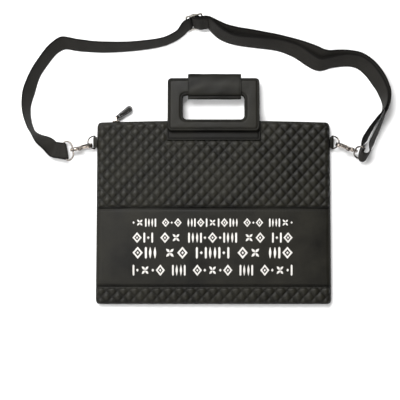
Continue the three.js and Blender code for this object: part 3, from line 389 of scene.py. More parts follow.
# %% Walls, rings, rods and wires
def quads_of(rows, columns, start=0, wrap_rows=False, wrap_columns=False):
    i = np.arange(rows if wrap_rows else rows - 1)
    j = np.arange(columns if wrap_columns else columns - 1)
    i, j = (a.ravel() for a in np.meshgrid(i, j, indexing="ij"))
    k, l = (i + 1) % rows, (j + 1) % columns
    return start + np.stack([i * columns + j, k * columns + j, k * columns + l, i * columns + l], 1)


def facing_out(points, faces):
    """Turns the faces over when the volume that they close comes out negative."""
    fans = np.array([(f[0], p, q) for f in faces for p, q in zip(f[1:], f[2:])])
    a, b, c = (points[fans[:, k]] for k in range(3))
    if np.einsum("ij,ij->", a, np.cross(b, c)) < 0:
        faces = [f[::-1] for f in faces]
    return points, faces


def wall(outer, inner):
    """Closed shell between two grids of the same size."""
    n, m = outer.shape[:2]
    points = np.concatenate([outer.reshape(-1, 3), inner.reshape(-1, 3)])
    sides = [
        np.arange(n - 1) * m,
        (n - 1) * m + np.arange(m - 1),
        np.arange(n - 1, 0, -1) * m + m - 1,
        np.arange(m - 1, 0, -1),
    ]
    edge = np.concatenate(sides)
    after = np.roll(edge, -1)
    rim = np.stack([edge, edge + n * m, after + n * m, after], 1)
    return facing_out(points, np.concatenate([quads_of(n, m), quads_of(n, m, n * m)[:, ::-1], rim]))


def ring(loops):
    """Closed surface through closed loops that come back to the first one."""
    loops = np.asarray(loops, float)
    return facing_out(loops.reshape(-1, 3), quads_of(*loops.shape[:2], wrap_rows=True, wrap_columns=True))


def rod(loops):
    """Closed surface through closed loops, with a flat end at each side."""
    loops = np.asarray(loops, float)
    n, m = loops.shape[:2]
    ends = [tuple(range(m - 1, -1, -1)), tuple(range((n - 1) * m, n * m))]
    return facing_out(loops.reshape(-1, 3), [tuple(f) for f in quads_of(n, m, wrap_columns=True)] + ends)


def outer_only(rub_and_painted_light):
    """A wall's painted light and rub: the given values on its outer grid, and none inside."""
    return np.concatenate([rub_and_painted_light.ravel(), np.zeros(rub_and_painted_light.size)])


def unit(a):
    return a / np.maximum(np.linalg.norm(a, axis=-1, keepdims=True), 1e-12)


def length_along(points):
    return np.concatenate([[0], np.cumsum(np.linalg.norm(np.diff(points, axis=0), axis=1))])


def smooth_line(points, step, closed=False):
    """Even points on a smooth curve through the given ones. Columns past x, y, z are carried along."""
    p = np.asarray(points, float)
    if closed:
        p = np.concatenate([p[-2:], p, p[:3]])
    else:
        p = np.concatenate([[2 * p[0] - p[1]], p, [2 * p[-1] - p[-2]]])
    fine = []
    for k in range(1, len(p) - (4 if closed else 2)):
        a, b, c, d = p[k - 1 : k + 3]
        t = [0.0]
        for q, r in ((a, b), (b, c), (c, d)):
            t.append(t[-1] + max(1e-6, float(np.linalg.norm((r - q)[:3])) ** 0.5))
        for s in np.linspace(t[1], t[2], 12, endpoint=False):
            ab = a + (b - a) * (s - t[0]) / (t[1] - t[0])
            bc = b + (c - b) * (s - t[1]) / (t[2] - t[1])
            cd = c + (d - c) * (s - t[2]) / (t[3] - t[2])
            abc = ab + (bc - ab) * (s - t[0]) / (t[2] - t[0])
            bcd = bc + (cd - bc) * (s - t[1]) / (t[3] - t[1])
            fine.append(abc + (bcd - abc) * (s - t[1]) / (t[2] - t[1]))
    fine.append(fine[0] if closed else p[-2])
    fine = np.array(fine)
    run = length_along(fine[:, :3])
    even = np.linspace(0, run[-1], max(4, int(round(run[-1] / step))) + 1)
    made = np.stack([np.interp(even, run, column) for column in fine.T], 1)
    return made[:-1] if closed else made


def round_loop(sides):
    """The cosines and sines of even steps round a circle."""
    a = 2 * np.pi * np.arange(sides) / sides
    return np.cos(a), np.sin(a)


def wire_loops(line, radius, sides=14, closed=False):
    """Round loops along a line, carried on without twist."""
    line = np.asarray(line, float)
    if closed:
        tangent = unit(np.roll(line, -1, 0) - np.roll(line, 1, 0))
    else:
        tangent = unit(np.gradient(line, axis=0))
    side = unit(np.cross(tangent[0], [0.3, 0.2, 0.93]))
    c, s = round_loop(sides)
    loops = []
    for p, t in zip(line, tangent):
        side = unit(side - t * float(side @ t))
        loops.append(p + radius * (c[:, None] * side + s[:, None] * np.cross(t, side)))
    return np.array(loops)


# %% [markdown]
# ## The form of the bag
# Panels, seams and embroidery all lie on one form, so the form is written once as a function of two
# shares: u from -1 to 1 across the bag and v from 0 at the bottom to 1 at the mouth. The front rises
# from the side seam in a quarter round, swells in the middle, and turns in at the mouth. The back is
# flat on the table.

# %% Sizes of the bag
WIDTH, TAPER, HEIGHT = 366.0, 5.0, 285.0
MOUTH_CROWN, THICKNESS, WALL = 3.0, 22.0, 2.6
EDGE_ROLL, FRONT_RISE, SEAM_LEVEL = 8.0, 7.0, 6.5
LIP, LIP_DROP, LIP_LIFT, SEAM_DIP = 4.0, 2.0, 3.0, 1.0
BAND_TOP, BAND_FOOT, GAP = 7.0, -114.0, 0.3
HALF_COLUMNS, HALF_ROWS = 40, 13

# columns: across and up as shares, reach as a share of the width, depth in wall thicknesses
DENTS = [
    (-0.62, 0.36, 0.13, 0.3),
    (0.48, 0.27, 0.11, 0.26),
    (0.1, 0.47, 0.16, 0.22),
    (0.7, 0.72, 0.14, 0.3),
    (-0.45, 0.8, 0.12, 0.24),
]


def half_width(v):
    return (WIDTH - TAPER * v) / 2


def quarter_round(d, width):
    return np.sqrt(np.clip(1 - (1 - np.minimum(d, width) / width) ** 2, 0, 1))


def plan(u, v):
    """Place in the plane, and the distances from the nearest edge, the mouth and the side."""
    half = half_width(v)
    height = HEIGHT - MOUTH_CROWN * u * u
    dx, dy, dt = (1 - np.abs(u)) * half, v * height, (1 - v) * height
    low = dy < dt
    d = np.where(low, dy, dt)
    p, q = EDGE_ROLL - dx, EDGE_ROLL - d
    corner = (p > 0) & (q > 0)
    s = np.where(corner, 0.25 + 0.75 * np.maximum(p, q) / np.maximum(np.hypot(p, q), 1e-9), 1)
    x = np.sign(u) * (half - np.where(corner, EDGE_ROLL - p * s, dx))
    d = np.where(corner, EDGE_ROLL - q * s, d)
    y = np.where(low, d - HEIGHT / 2, height - HEIGHT / 2 - d)
    return x, y, np.minimum(dx, dy), dt, dx


def crown(u, v):
    z = (THICKNESS - SEAM_LEVEL - FRONT_RISE) * (1 - np.abs(u) ** 2.5) * (1 - np.abs(2 * v - 1) ** 2.5)
    for across, up, reach, depth in DENTS:
        d = np.hypot((u - across) / 2, (v - up) * HEIGHT / WIDTH) / reach
        z = z - depth * WALL * np.exp(-d * d * 1.6)
    return z


def front(u, v):
    x, y, edge, lip, _ = plan(u, v)
    rounded, turn = quarter_round(edge, EDGE_ROLL), 1 - quarter_round(lip, LIP)
    z = SEAM_LEVEL + GAP + (FRONT_RISE + crown(u, v) - LIP_DROP * turn) * rounded
    for seam in (BAND_TOP, BAND_FOOT):
        z = z - SEAM_DIP * rounded * np.exp(-(((y - seam) / 3) ** 2))
    return np.stack([x, y, z], -1)


def back(u, v):
    x, y, edge, lip, _ = plan(u, v)
    rounded, turn = quarter_round(edge, EDGE_ROLL), 1 - quarter_round(lip, LIP)
    return np.stack([x, y, SEAM_LEVEL * (1 - rounded) + LIP_LIFT * turn * rounded], -1)


def outward(form, u, v, side=1):
    e = 2e-4
    a = form(np.minimum(u + e, 1), v) - form(np.maximum(u - e, -1), v)
    b = form(u, np.minimum(v + e, 1)) - form(u, np.maximum(v - e, 0))
    return unit(np.cross(a, b)) * side


def level(y):
    return (np.asarray(y, float) + HEIGHT / 2) / HEIGHT


def shares(x, y):
    """The shares of a place on the front."""
    v = level(y)
    for _ in range(3):
        u = x / half_width(v)
        v = (y + HEIGHT / 2) / (HEIGHT - MOUTH_CROWN * u * u)
    return u, v


# %% [markdown]
# ## Panels
# Quilting is leather sewn to foam along diagonal lines. Between the lines the foam pushes the
# leather up into a small cushion with steep sides and a rounded top. A bump map would show that from
# above, but not along the edge of the bag, so the cushions are real: the grid has eight steps to
# each half diamond, and each point is moved out along the form's normal.


# %% The quilting's height
QUILT_REACH = 1 - 2 * EDGE_ROLL / (WIDTH - TAPER)
QUILT_FOOT, HEM_FOOT = BAND_TOP + 4, BAND_FOOT - 7.2
QUILT_STEP = (HEIGHT / 2 - LIP - 3 - QUILT_FOOT) / HALF_ROWS


def diamonds(u, v, foot):
    """Diamond coordinates: sewn lines lie where either one is a whole number and a half."""
    i = (u / QUILT_REACH + 1) * HALF_COLUMNS / 2
    j = (v * HEIGHT - HEIGHT / 2 - foot) / QUILT_STEP
    return (i + j) / 2, (i - j) / 2


def cushion(u, v, foot):
    a, b = (2 * np.abs(x - np.round(x)) for x in diamonds(u, v, foot))
    return np.clip((1 - a**2) * (1 - b**2), 0, 1) ** 0.72


def slow_waves(x, y):
    """Gentle unevenness of leather that has been handled."""
    return (
        0.30 * np.sin(x / 31 + 1.3) * np.sin(y / 23 + 0.4)
        + 0.22 * np.sin(x / 17 - y / 29 + 2.1)
        + 0.16 * np.sin(x / 11 + y / 13 + 0.7) * np.sin(x / 41)
    )


def fade(distance, reach):
    t = np.clip(distance / reach, 0, 1)
    return t * t * (3 - 2 * t)


def hump(distance, reach):
    """1 in the middle of a narrow rise or groove, and soon nothing beside it."""
    return np.exp(-((distance / reach) ** 2))


SEAM_BESIDE = 2.3


def seam_fold(distance):
    """How far leather is drawn down at a seam: the fold itself, and the line of its stitches."""
    return 1.1 * hump(distance, 0.75) + 0.42 * hump(distance - SEAM_BESIDE, 0.7)


# %% Lines of the grids
NEAR_EDGE = np.array([0, 0.12, 0.45, 1.0, 1.8, 2.9, 4.3, 6.0])
NEAR_SEAM = np.array([0.15, 0.5, 0.9, 1.4, 1.9, 2.3, 2.7, 3.3])
PAST_SEAM = np.array([4.2, 5.4, 7.0, 9.0])


def columns_of(middle):
    edge = 1 - 2 * NEAR_EDGE / WIDTH
    return np.concatenate([-edge, middle, edge[::-1]])


def plain_columns(spacing):
    count = int((WIDTH - 2 * EDGE_ROLL) / spacing)
    return columns_of(np.linspace(-1, 1, count + 1) * (1 - 2 * EDGE_ROLL / WIDTH))


# Eight steps to half a diamond each way, so that every sewn line runs through points of the grid.
quilt_columns = columns_of(np.linspace(-QUILT_REACH, QUILT_REACH, 8 * HALF_COLUMNS + 1))


def panel(name, form, columns, rows, height, finish, slot, side=1):
    """A padded sheet on the form. height gives its rise over the form, and the painted light and shade, with
    a little rub, that it carries.
    """
    u, v = np.meshgrid(columns, np.concatenate(rows), indexing="ij")
    base, normal = form(u, v), outward(form, u, v, side)
    raised, rub_and_painted_light = height(u, v)
    shell = wall(base + normal * raised[..., None], base - normal * WALL)
    piece = new_object(name + "_cover", *shell, rub_and_painted_light=outer_only(rub_and_painted_light))
    finish_piece(piece, finish, stands_for=name, sharp=50)


# %% Upper panel and hem, quilted
PATCH_HALF, PATCH_FOOT = 72.4, 111.6


def upper_height(u, v):
    x, y, _, lip, side = plan(u, v)
    puff = cushion(u, v, QUILT_FOOT)
    quiet = fade(side, 5) * fade(lip - 1, 6) * fade(y - BAND_TOP - 0.5, 5)
    under_patch = fade(PATCH_HALF + 6 - np.abs(x), 6) * fade(y - PATCH_FOOT + 6, 6)
    fold = seam_fold(y - BAND_TOP)
    height = ((2.5 - 1.3 * under_patch) * puff - 0.45) * quiet
    height = height + 0.3 * slow_waves(x, y) * quiet * (1 - under_patch) - fold
    # The second value: painted highlight on the cushions' tops, painted shade in the grooves and the seam's
    # fold.
    return height, (1.5 * puff - 0.5) * quiet - 0.6 * fold


def hem_height(u, v):
    _, y, edge, _, side = plan(u, v)
    puff = cushion(u, v, HEM_FOOT)
    quiet = fade(edge, 4) * fade(BAND_FOOT - y - 0.5, 4) * fade(side, 5)
    fold = seam_fold(BAND_FOOT - y)
    # The second value: painted highlight on the cushions' tops, painted shade in the grooves and the seam's
    # fold.
    return (2.5 * puff - 0.4) * quiet - fold, (1.5 * puff - 0.5) * quiet - 0.6 * fold


upper_rows = [
    level(BAND_TOP + NEAR_SEAM),
    level(QUILT_FOOT + QUILT_STEP * np.arange(0, 8 * HALF_ROWS + 1) / 8),
    1 - np.array([5.6, 4.4, 3.3, 2.3, 1.4, 0.7, 0.25, 0]) / HEIGHT,
]
hem_rows = [
    NEAR_EDGE / HEIGHT,
    level(HEM_FOOT + QUILT_STEP * np.arange(-11, 4) / 8),
    level(BAND_FOOT - NEAR_SEAM[::-1]),
]
quilted = (quilted_leather, "quilted_leather")
panel("front_quilted_panel", front, quilt_columns, upper_rows, upper_height, *quilted)
panel("front_quilted_hem", front, quilt_columns, hem_rows, hem_height, *quilted)


# %% [markdown]
# The smooth band is plain leather over the same foam. It isn't perfectly even: it puckers along both
# seams, where each stitch pulls the leather down, and it waves slowly over the filling.


# %% Smooth band and back panel
def band_height(u, v):
    x, y, _, _, side = plan(u, v)
    seam = np.minimum(BAND_TOP - y, y - BAND_FOOT)
    pucker = 0.16 * np.sin(2 * np.pi * x / 5.3 + np.sin(x / 19)) * hump(seam - 3.5, 4)
    waves = 0.7 * slow_waves(x, y) * fade(seam, 12) * fade(side, 10)
    fold = seam_fold(seam)
    # The second value: lighter near the sides as a painted highlight, painted shade in the seams' folds.
    return waves + pucker * fade(side, 6) - fold, 0.25 * fade(10 - side, 8) - 0.6 * fold


def back_height(u, v):
    _, _, edge, lip, _ = plan(u, v)
    return np.zeros_like(u), 0.4 * fade(9 - np.minimum(edge, lip), 9)


seam_rows = np.concatenate([NEAR_SEAM, PAST_SEAM])
band_rows = [
    level(BAND_FOOT + seam_rows),
    level(np.linspace(BAND_FOOT + 11, BAND_TOP - 11, 40)),
    level(BAND_TOP - seam_rows[::-1]),
]
back_rows = [
    NEAR_EDGE / HEIGHT,
    level(np.linspace(EDGE_ROLL - HEIGHT / 2, HEIGHT / 2 - LIP - 2, 60)),
    1 - np.array([5, 4, 3, 2.1, 1.3, 0.7, 0.25, 0]) / HEIGHT,
]
smooth = (smooth_leather, "smooth_leather")
panel("front_smooth_band", front, plain_columns(1.8), band_rows, band_height, *smooth)
panel("back_panel", back, plain_columns(4.5), back_rows, back_height, *smooth, side=-1)

# %% [markdown]
# ## Stitches
# A row of stitches is one short bent thread, repeated at an even pitch along a line on the leather.
# Geometry nodes do this well: the line is a mesh of edges that carries the leather's normal as the
# attribute "up", the tree spaces points along it, and puts a stitch on each point, lying along the
# line. The result is turned into a plain mesh. Embroidery and zip teeth are made in the same way,
# so what the three trees share is written once.


# %% What the trees share
def new_tree(name, *sockets):
    """A geometry tree with named inputs. sockets: name, kind and default value."""
    tree = bpy.data.node_groups.new(name, "GeometryNodeTree")
    for label, kind, value in (("Geometry", "Geometry", None), *sockets, ("Finish", "Material", None)):
        socket = tree.interface.new_socket(label, in_out="INPUT", socket_type="NodeSocket" + kind)
        if value is not None:
            socket.default_value = value
    tree.interface.new_socket("Geometry", in_out="OUTPUT", socket_type="NodeSocketGeometry")
    return add_node(tree, "NodeGroupInput")


def spaced_points(given, mode, key, value):
    line = given.then("GeometryNodeMeshToCurve", {"Mesh": given["Geometry"]})
    return line.then("GeometryNodeResampleCurve", {"Curve": line, key: value}, mode=mode)


def vector(given, **parts):
    return given.then("ShaderNodeCombineXYZ", parts)


def up_from_line(given):
    named = given.then("GeometryNodeInputNamedAttribute", {"Name": "up"}, data_type="FLOAT_VECTOR")
    return named["Attribute"]


def tube(line, radius, sides):
    circle = line.then("GeometryNodeCurvePrimitiveCircle", {"Resolution": sides, "Radius": radius})
    return line.then("GeometryNodeCurveToMesh", {"Curve": line, "Profile Curve": circle, "Fill Caps": True})


def lying(given, primary, secondary, axes):
    """The rotation that lays one axis along a direction and turns another towards a second one."""
    inputs = {"Primary Axis": primary, "Secondary Axis": secondary}
    settings = {"primary_axis": axes[0], "secondary_axis": axes[1]}
    return given.then("FunctionNodeAxesToRotation", inputs, **settings)


def finished_tree(geometry, given):
    """Makes the instances real, sets the finish and closes the tree."""
    real = geometry.then("GeometryNodeRealizeInstances", {"Geometry": geometry})
    coated = real.then("GeometryNodeSetMaterial", {"Geometry": real, "Material": given["Finish"]})
    tree = coated.socket.id_data
    tree.links.new(coated.socket, tree.nodes.new("NodeGroupOutput").inputs["Geometry"])
    return tree


def run_tree(name, carrier, tree, **values):
    """The carrier with a tree on it, as a plain mesh object."""
    modifier = carrier.modifiers.new("tree", "NODES")
    modifier.node_group = tree
    sockets = {s.name: s.identifier for s in tree.interface.items_tree if s.in_out == "INPUT"}
    for key, value in values.items():
        modifier[sockets[key]] = value
    return as_left(carrier, name)


# %% The stitch tree
def stitch_tree():
    lengths = [("Pitch", "Float", 0.003), ("Stitch", "Float", 0.0022), ("Thread", "Float", 0.00025)]
    given = new_tree("stitch_row", *lengths, ("Sides", "Int", 5), ("Seed", "Int", 3))
    spaced = spaced_points(given, "LENGTH", "Length", given["Pitch"])
    half, low, high = given["Stitch"] * 0.5, given["Thread"] * -0.9, given["Thread"] * 2.0
    arch = {"Start": vector(given, X=half * -1.0, Z=low), "Middle": vector(given, Z=high)}
    arch["End"] = vector(given, X=half, Z=low)
    bend = given.then("GeometryNodeCurveQuadraticBezier", {"Resolution": 3, **arch})
    tangent = given.then("GeometryNodeInputTangent")
    lengths = {2: 0.9, 3: 1.08, "Seed": given["Seed"]}
    chance = given.then("FunctionNodeRandomValue", lengths, data_type="FLOAT")
    inputs = {"Points": spaced, "Instance": tube(bend, given["Thread"], given["Sides"])}
    inputs["Rotation"] = lying(given, up_from_line(given), tangent, "ZX")
    inputs["Scale"] = vector(given, X=chance[1], Y=1.0, Z=1.0)
    return finished_tree(given.then("GeometryNodeInstanceOnPoints", inputs), given)


STITCHES = stitch_tree()


# %% Sewing a row
def edge_lines(name, lines, tone=None):
    """Open lines as a mesh of edges. lines: (points in mm, normals)."""
    points = np.concatenate([p for p, _ in lines]) * MM
    ups = np.concatenate([n for _, n in lines])
    edges, start = [], 0
    for p, _ in lines:
        edges += [(start + k, start + k + 1) for k in range(len(p) - 1)]
        start += len(p)
    mesh = bpy.data.meshes.new(name)
    mesh.from_pydata(points.tolist(), edges, [])
    write_points(mesh, "up", "FLOAT_VECTOR", "vector", ups)
    if tone is not None:
        write_points(mesh, "tone", "FLOAT", "value", tone)
    return placed(name, mesh)


def sew(name, lines, pitch, stitch, thread, sides):
    """Rows of stitches, with lengths in mm."""
    lengths = {"Pitch": pitch * MM, "Stitch": stitch * MM, "Thread": thread * MM}
    carrier = edge_lines(name, lines)
    piece = run_tree(name, carrier, STITCHES, **lengths, Sides=sides, Seed=3, Finish=sewing_thread)
    finish_piece(piece, sewing_thread, sharp=80)


def line_on_front(u, v, lift):
    """Points and normals of a line on the front, lifted off it by so many mm."""
    u, v = np.broadcast_arrays(np.asarray(u, float), np.asarray(v, float))
    normal = outward(front, u, v)
    return front(u, v) + normal * lift, normal


# %% [markdown]
# The quilting's stitches lie at the bottom of the grooves. The diagonal lines are straight in the
# diamond coordinates, so each line is worked out there, cut at the panel's edges, and put on the
# form. Under the handle's patch they can't be seen, but they are sewn there too, as on the real bag.


# %% Stitches of the quilting
def quilt_lines(foot, y_low, y_high):
    lines = []
    y = np.arange(y_low, y_high, 1.6)
    j = (y - foot) / QUILT_STEP
    for k in range(-HALF_ROWS, HALF_COLUMNS + 2 * HALF_ROWS):
        for slope in (1, -1):
            u = QUILT_REACH * (2 * (2 * k + 1 - slope * j) / HALF_COLUMNS - 1)
            where = np.flatnonzero(np.abs(u) < 1 - 2 * 4.5 / WIDTH)
            if len(where) >= 4:
                lines.append(line_on_front(u[where], level(y[where]), -0.32))
    return lines


upper_lines = quilt_lines(QUILT_FOOT, BAND_TOP + 4.5, HEIGHT / 2 - LIP - 4)
hem_lines = quilt_lines(HEM_FOOT, EDGE_ROLL * 0.6 - HEIGHT / 2, BAND_FOOT - 4)
sew("quilting_stitches", upper_lines + hem_lines, 2.9, 2.3, 0.2, 4)

# %% [markdown]
# The panels are joined by two seams with a row of stitches on each side. They are longer and
# thicker than the quilting's. One more row follows the mouth.


# %% Stitches of the seams and the mouth
LINE_POINTS, MOUTH_BELOW = 260, 3.4


def across_front(inset, v, lift):
    return line_on_front(np.linspace(-1, 1, LINE_POINTS) * (1 - 2 * inset / WIDTH), v, lift)


seam_levels = [seam + side * SEAM_BESIDE for seam in (BAND_TOP, BAND_FOOT) for side in (1, -1)]
sew("seam_stitches", [across_front(3.0, level(y), 0.05) for y in seam_levels], 3.4, 2.7, 0.3, 6)
sew("mouth_stitches", [across_front(9.0, 1 - MOUTH_BELOW / HEIGHT, 0.02)], 3.4, 2.7, 0.28, 5)

# %% [markdown]
# ## Embroidery
# Four rows of ornament run across the smooth band: lozenges, leaves, bars and small rosettes in
# off-white thread. Satin stitch fills each shape with close parallel threads that arch over it.
# Here each shape is an outline, a scan line cuts it into threads, and a geometry nodes tree gives
# every thread its arch and its round section. Tones differ a little from thread to thread.


# %% Shapes of the ornament
def lozenge(half_w, half_h):
    return [(-half_w, 0), (0, -half_h), (half_w, 0), (0, half_h)]


def leaf(half_w, half_h, cx=0.0, cy=0.0, turn=0.0):
    t = np.linspace(0, 1, 9)
    right = np.stack([half_w * np.sin(np.pi * t), half_h * (2 * t - 1)], 1)
    pts = np.concatenate([right, right[-2:0:-1] * [-1, 1]])
    c, s = math.cos(turn), math.sin(turn)
    return [(cx + c * x - s * y, cy + s * x + c * y) for x, y in pts]


def rosette():
    angles = np.arange(4) * math.pi / 2 + math.pi / 4
    return [leaf(0.2, 0.42, 0.45 * math.cos(a), 0.5 * math.sin(a), a - math.pi / 2) for a in angles]


# Each motif: its half width and its outlines, for a row that is 2 high. An outline inside another
# one is a hole.
MOTIFS = {
    "lozenge": (0.86, [lozenge(0.86, 1.0), lozenge(0.5, 0.6), lozenge(0.2, 0.24)]),
    "bar": (0.17, [[(-0.17, -0.8), (0.0, -1.0), (0.17, -0.8), (0.17, 0.8), (0.0, 1.0), (-0.17, 0.8)]]),
    "leaves": (0.62, [leaf(0.2, 0.98, -0.4), leaf(0.2, 0.98, 0.4)]),
    "rose": (0.9, rosette()),
    "dot": (0.24, [lozenge(0.24, 0.28)]),
    "space": (0.35, []),
}
# keys: middle of the row and its height. values: half of its motifs, from the middle outwards
ROWS = {
    (-15.5, 13.6): "rose bar lozenge bar leaves space lozenge dot lozenge space bar leaves bar rose dot",
    (-38.7, 16.4): "lozenge dot bar leaves bar space rose lozenge space bar dot bar lozenge",
    (-62.0, 18.6): "leaves bar dot bar space lozenge rose space leaves bar lozenge",
    (-89.0, 17.6): "rose dot lozenge space bar leaves bar space lozenge dot rose dot bar",
}
ROW_FROM, ROW_TO = -125.0, 122.0
THREAD_PITCH, MOTIF_GAP, SHORTEST = 0.46, 0.34, 0.35


# %% Cutting the shapes into threads
def threads_of(outlines, cx, cy, scale_x, scale_y):
    """Upright threads that fill the outlines, as pairs of ends."""
    shapes = [np.array(o, float) * [scale_x, scale_y] + [cx, cy] for o in outlines]
    low = min(s[:, 0].min() for s in shapes)
    high = max(s[:, 0].max() for s in shapes)
    made = []
    for x in np.arange(low + THREAD_PITCH / 2, high, THREAD_PITCH):
        cuts = []
        for a in shapes:
            b = np.roll(a, -1, 0)
            hit = (a[:, 0] > x) != (b[:, 0] > x)
            f = (x - a[hit, 0]) / (b[hit, 0] - a[hit, 0])
            cuts += list(a[hit, 1] + f * (b[hit, 1] - a[hit, 1]))
        cuts.sort()
        made += [((x, p), (x, q)) for p, q in zip(cuts[::2], cuts[1::2]) if q - p > SHORTEST]
    return made


def row_threads(middle, height, half_motifs):
    names = half_motifs.split()
    names = names[:0:-1] + names
    total = sum(2 * MOTIFS[n][0] for n in names) + MOTIF_GAP * (len(names) - 1)
    scale = (ROW_TO - ROW_FROM) / total
    x, made = ROW_FROM, []
    for n in names:
        half, outlines = MOTIFS[n]
        if outlines:
            made += threads_of(outlines, x + half * scale, middle, scale, height / 2)
        x += (2 * half + MOTIF_GAP) * scale
    return made


def on_band(x, y, lift):
    """Places over the band's leather, and their normals."""
    u, v = shares(x, y)
    normal = outward(front, u, v)
    return front(u, v) + normal * band_height(u, v)[0][..., None] + normal * lift, normal


# %% The thread tree
def thread_tree():
    lengths = [("Thread", "Float", 0.00026), ("Arch", "Float", 0.0006)]
    given = new_tree("satin_threads", *lengths, ("Points", "Int", 4))
    spaced = spaced_points(given, "COUNT", "Count", given["Points"])
    share = given.then("GeometryNodeSplineParameter")["Factor"]
    rise = (share * math.pi).maths("SINE").maths("POWER", 0.6) * given["Arch"]
    shift = given.then("ShaderNodeVectorMath", {0: up_from_line(given), "Scale": rise}, operation="SCALE")
    arched = given.then("GeometryNodeSetPosition", {"Geometry": spaced, "Offset": shift})
    return finished_tree(tube(arched, given["Thread"], 5), given)


SATIN = thread_tree()

# %% The four rows
RAGGED, LIFT = 0.12, 0.12
tones = np.random.default_rng(11)
for number, ((middle, height), motifs) in enumerate(ROWS.items(), 1):
    ends = np.array(row_threads(middle, height, motifs))
    ends[..., 1] += tones.uniform(-RAGGED, RAGGED, ends.shape[:2])
    place, normal = (a.reshape(-1, 2, 3) for a in on_band(ends[..., 0].ravel(), ends[..., 1].ravel(), LIFT))
    tone = np.repeat(tones.uniform(0, 1, len(place)), 2)
    carrier = edge_lines(f"row_{number}", list(zip(place, normal)), tone=tone)
    lengths = {"Thread": 0.29 * MM, "Arch": 0.62 * MM}
    name = f"embroidery_row_{number}"
    piece = run_tree(name, carrier, SATIN, **lengths, Points=4, Finish=embroidery_thread)
    finish_piece(piece, embroidery_thread, sharp=80)

# %% [markdown]
# ## Zip
# The mouth is closed by a zip: two woven tapes, and teeth that interlock along the middle. The
# teeth follow the mouth's gentle curve, one from each side in turn, so geometry nodes place them.
# The tapes are right as they are in the solid model and only get their woven finish.


# %% Zip tapes
for name in ("zip_tape_back", "zip_tape_front"):
    nodes[name].data.materials.clear()
    nodes[name].data.materials.append(zip_tape)


def mouth_at(x):
    """Along the mouth: x, y, and the heights of the back's and the front's lip."""
    u = np.asarray(x, float) / half_width(1.0)
    f, b = (form(u, np.ones_like(u)) for form in (front, back))
    return f[..., 0], f[..., 1], b[..., 2], f[..., 2]


SLIDER_AT = -150.7
CHAIN_FROM, CHAIN_TO = SLIDER_AT - 2.4, half_width(1.0) - EDGE_ROLL - 6
print("mouth's middle, mm (x, y, lower lip, upper lip):", [round(float(a), 1) for a in mouth_at(0.0)])


# %% The teeth tree
def teeth_tree():
    lengths = [("Pitch", "Float", 0.0014), ("Width", "Float", 0.0027), ("Height", "Float", 0.003)]
    given = new_tree("zip_teeth", *lengths)
    spaced = spaced_points(given, "LENGTH", "Length", given["Pitch"])
    size = vector(given, X=given["Pitch"] * 0.62, Y=given["Height"], Z=given["Width"])
    block = given.then("GeometryNodeMeshCube", {"Size": size})
    tooth = given.then("GeometryNodeSubdivisionSurface", {"Mesh": block, "Level": 1})
    turn = lying(given, given.then("GeometryNodeInputTangent"), up_from_line(given), "XZ")
    odd = given.then("GeometryNodeInputIndex").maths("FLOORED_MODULO", 2.0)
    offset = vector(given, Z=(odd - 0.5) * given["Width"] * 0.5)
    moved = given.then("GeometryNodeSetPosition", {"Geometry": spaced, "Offset": offset})
    inputs = {"Points": moved, "Instance": tooth, "Rotation": turn}
    return finished_tree(given.then("GeometryNodeInstanceOnPoints", inputs), given)


# %% Zip teeth
TEETH_IN, TEETH_POINTS = 1.4, 200
x, y, low_lip, high_lip = mouth_at(np.linspace(CHAIN_FROM + 1, CHAIN_TO - 1, TEETH_POINTS))
middle_line = np.stack([x, y - TEETH_IN, (low_lip + high_lip) / 2], 1)
teeth_line = edge_lines("teeth_line", [(middle_line, np.tile([0.0, 0.0, 1.0], (TEETH_POINTS, 1)))])
lengths = {"Pitch": 1.3 * MM, "Width": 3.1 * MM, "Height": 3.0 * MM}
teeth = run_tree("zip_teeth", teeth_line, teeth_tree(), **lengths, Finish=black_metal)
finish_piece(teeth, black_metal, stands_for="zip_chain", sharp=60)

# %% [markdown]
# ## Handle
# The handle is a stiff frame with padding, covered in leather. Its lower bar is sewn to a patch on
# the front, and a padded sleeve goes round its top bar. All three are rings or sheets: the frame is
# a closed loop of sections, the sleeve a tube with a wall, and the patch follows the quilting below.

# %% Sizes of the handle
HANDLE_WIDTH, HANDLE_HEIGHT, HANDLE_FOOT, BAR_THICK = 142.2, 83.7, 124.5, 9.0
OPENING_WIDTH, OPENING_HEIGHT, BOTTOM_BAR, CORNER = 94.8, 37.3, 18.9, 6.0
TOP_BAR = HANDLE_HEIGHT - BOTTOM_BAR - OPENING_HEIGHT
PATCH_WIDTH, PATCH_HEIGHT, PATCH_THICK, QUILT_PUFF = 2 * PATCH_HALF, 29.6, 2.2, 1.3
PATCH_BORDER, GRIP_LENGTH, GRIP_WIDTH, GRIP_WALL = 2.8, 82.0, 40.0, 2.4
HANDLE_ORIGIN, HANDLE_SLOPE = np.array([0, HANDLE_FOOT, 20.336]), 0.1072
cosine, sine = math.cos(HANDLE_SLOPE), math.sin(HANDLE_SLOPE)
handle_axes = np.array([[1, 0, 0], [0, cosine, -sine], [0, sine, cosine]])


def in_handle(points):
    return HANDLE_ORIGIN + np.asarray(points, float) @ handle_axes


# %% The patch under the handle
def patch_top(x, y):
    u, v = shares(x, np.minimum(y, HEIGHT / 2 - LIP - MOUTH_CROWN))
    return front(u, np.minimum(v, 1 - LIP / HEIGHT))[..., 2] + QUILT_PUFF + GAP + PATCH_THICK


def patch_stretch(x, up):
    """The patch's upper edge follows the mouth. up: height over its lower edge."""
    return PATCH_FOOT + up * (1 + (mouth_at(x)[1] - HEIGHT / 2) / PATCH_HEIGHT)


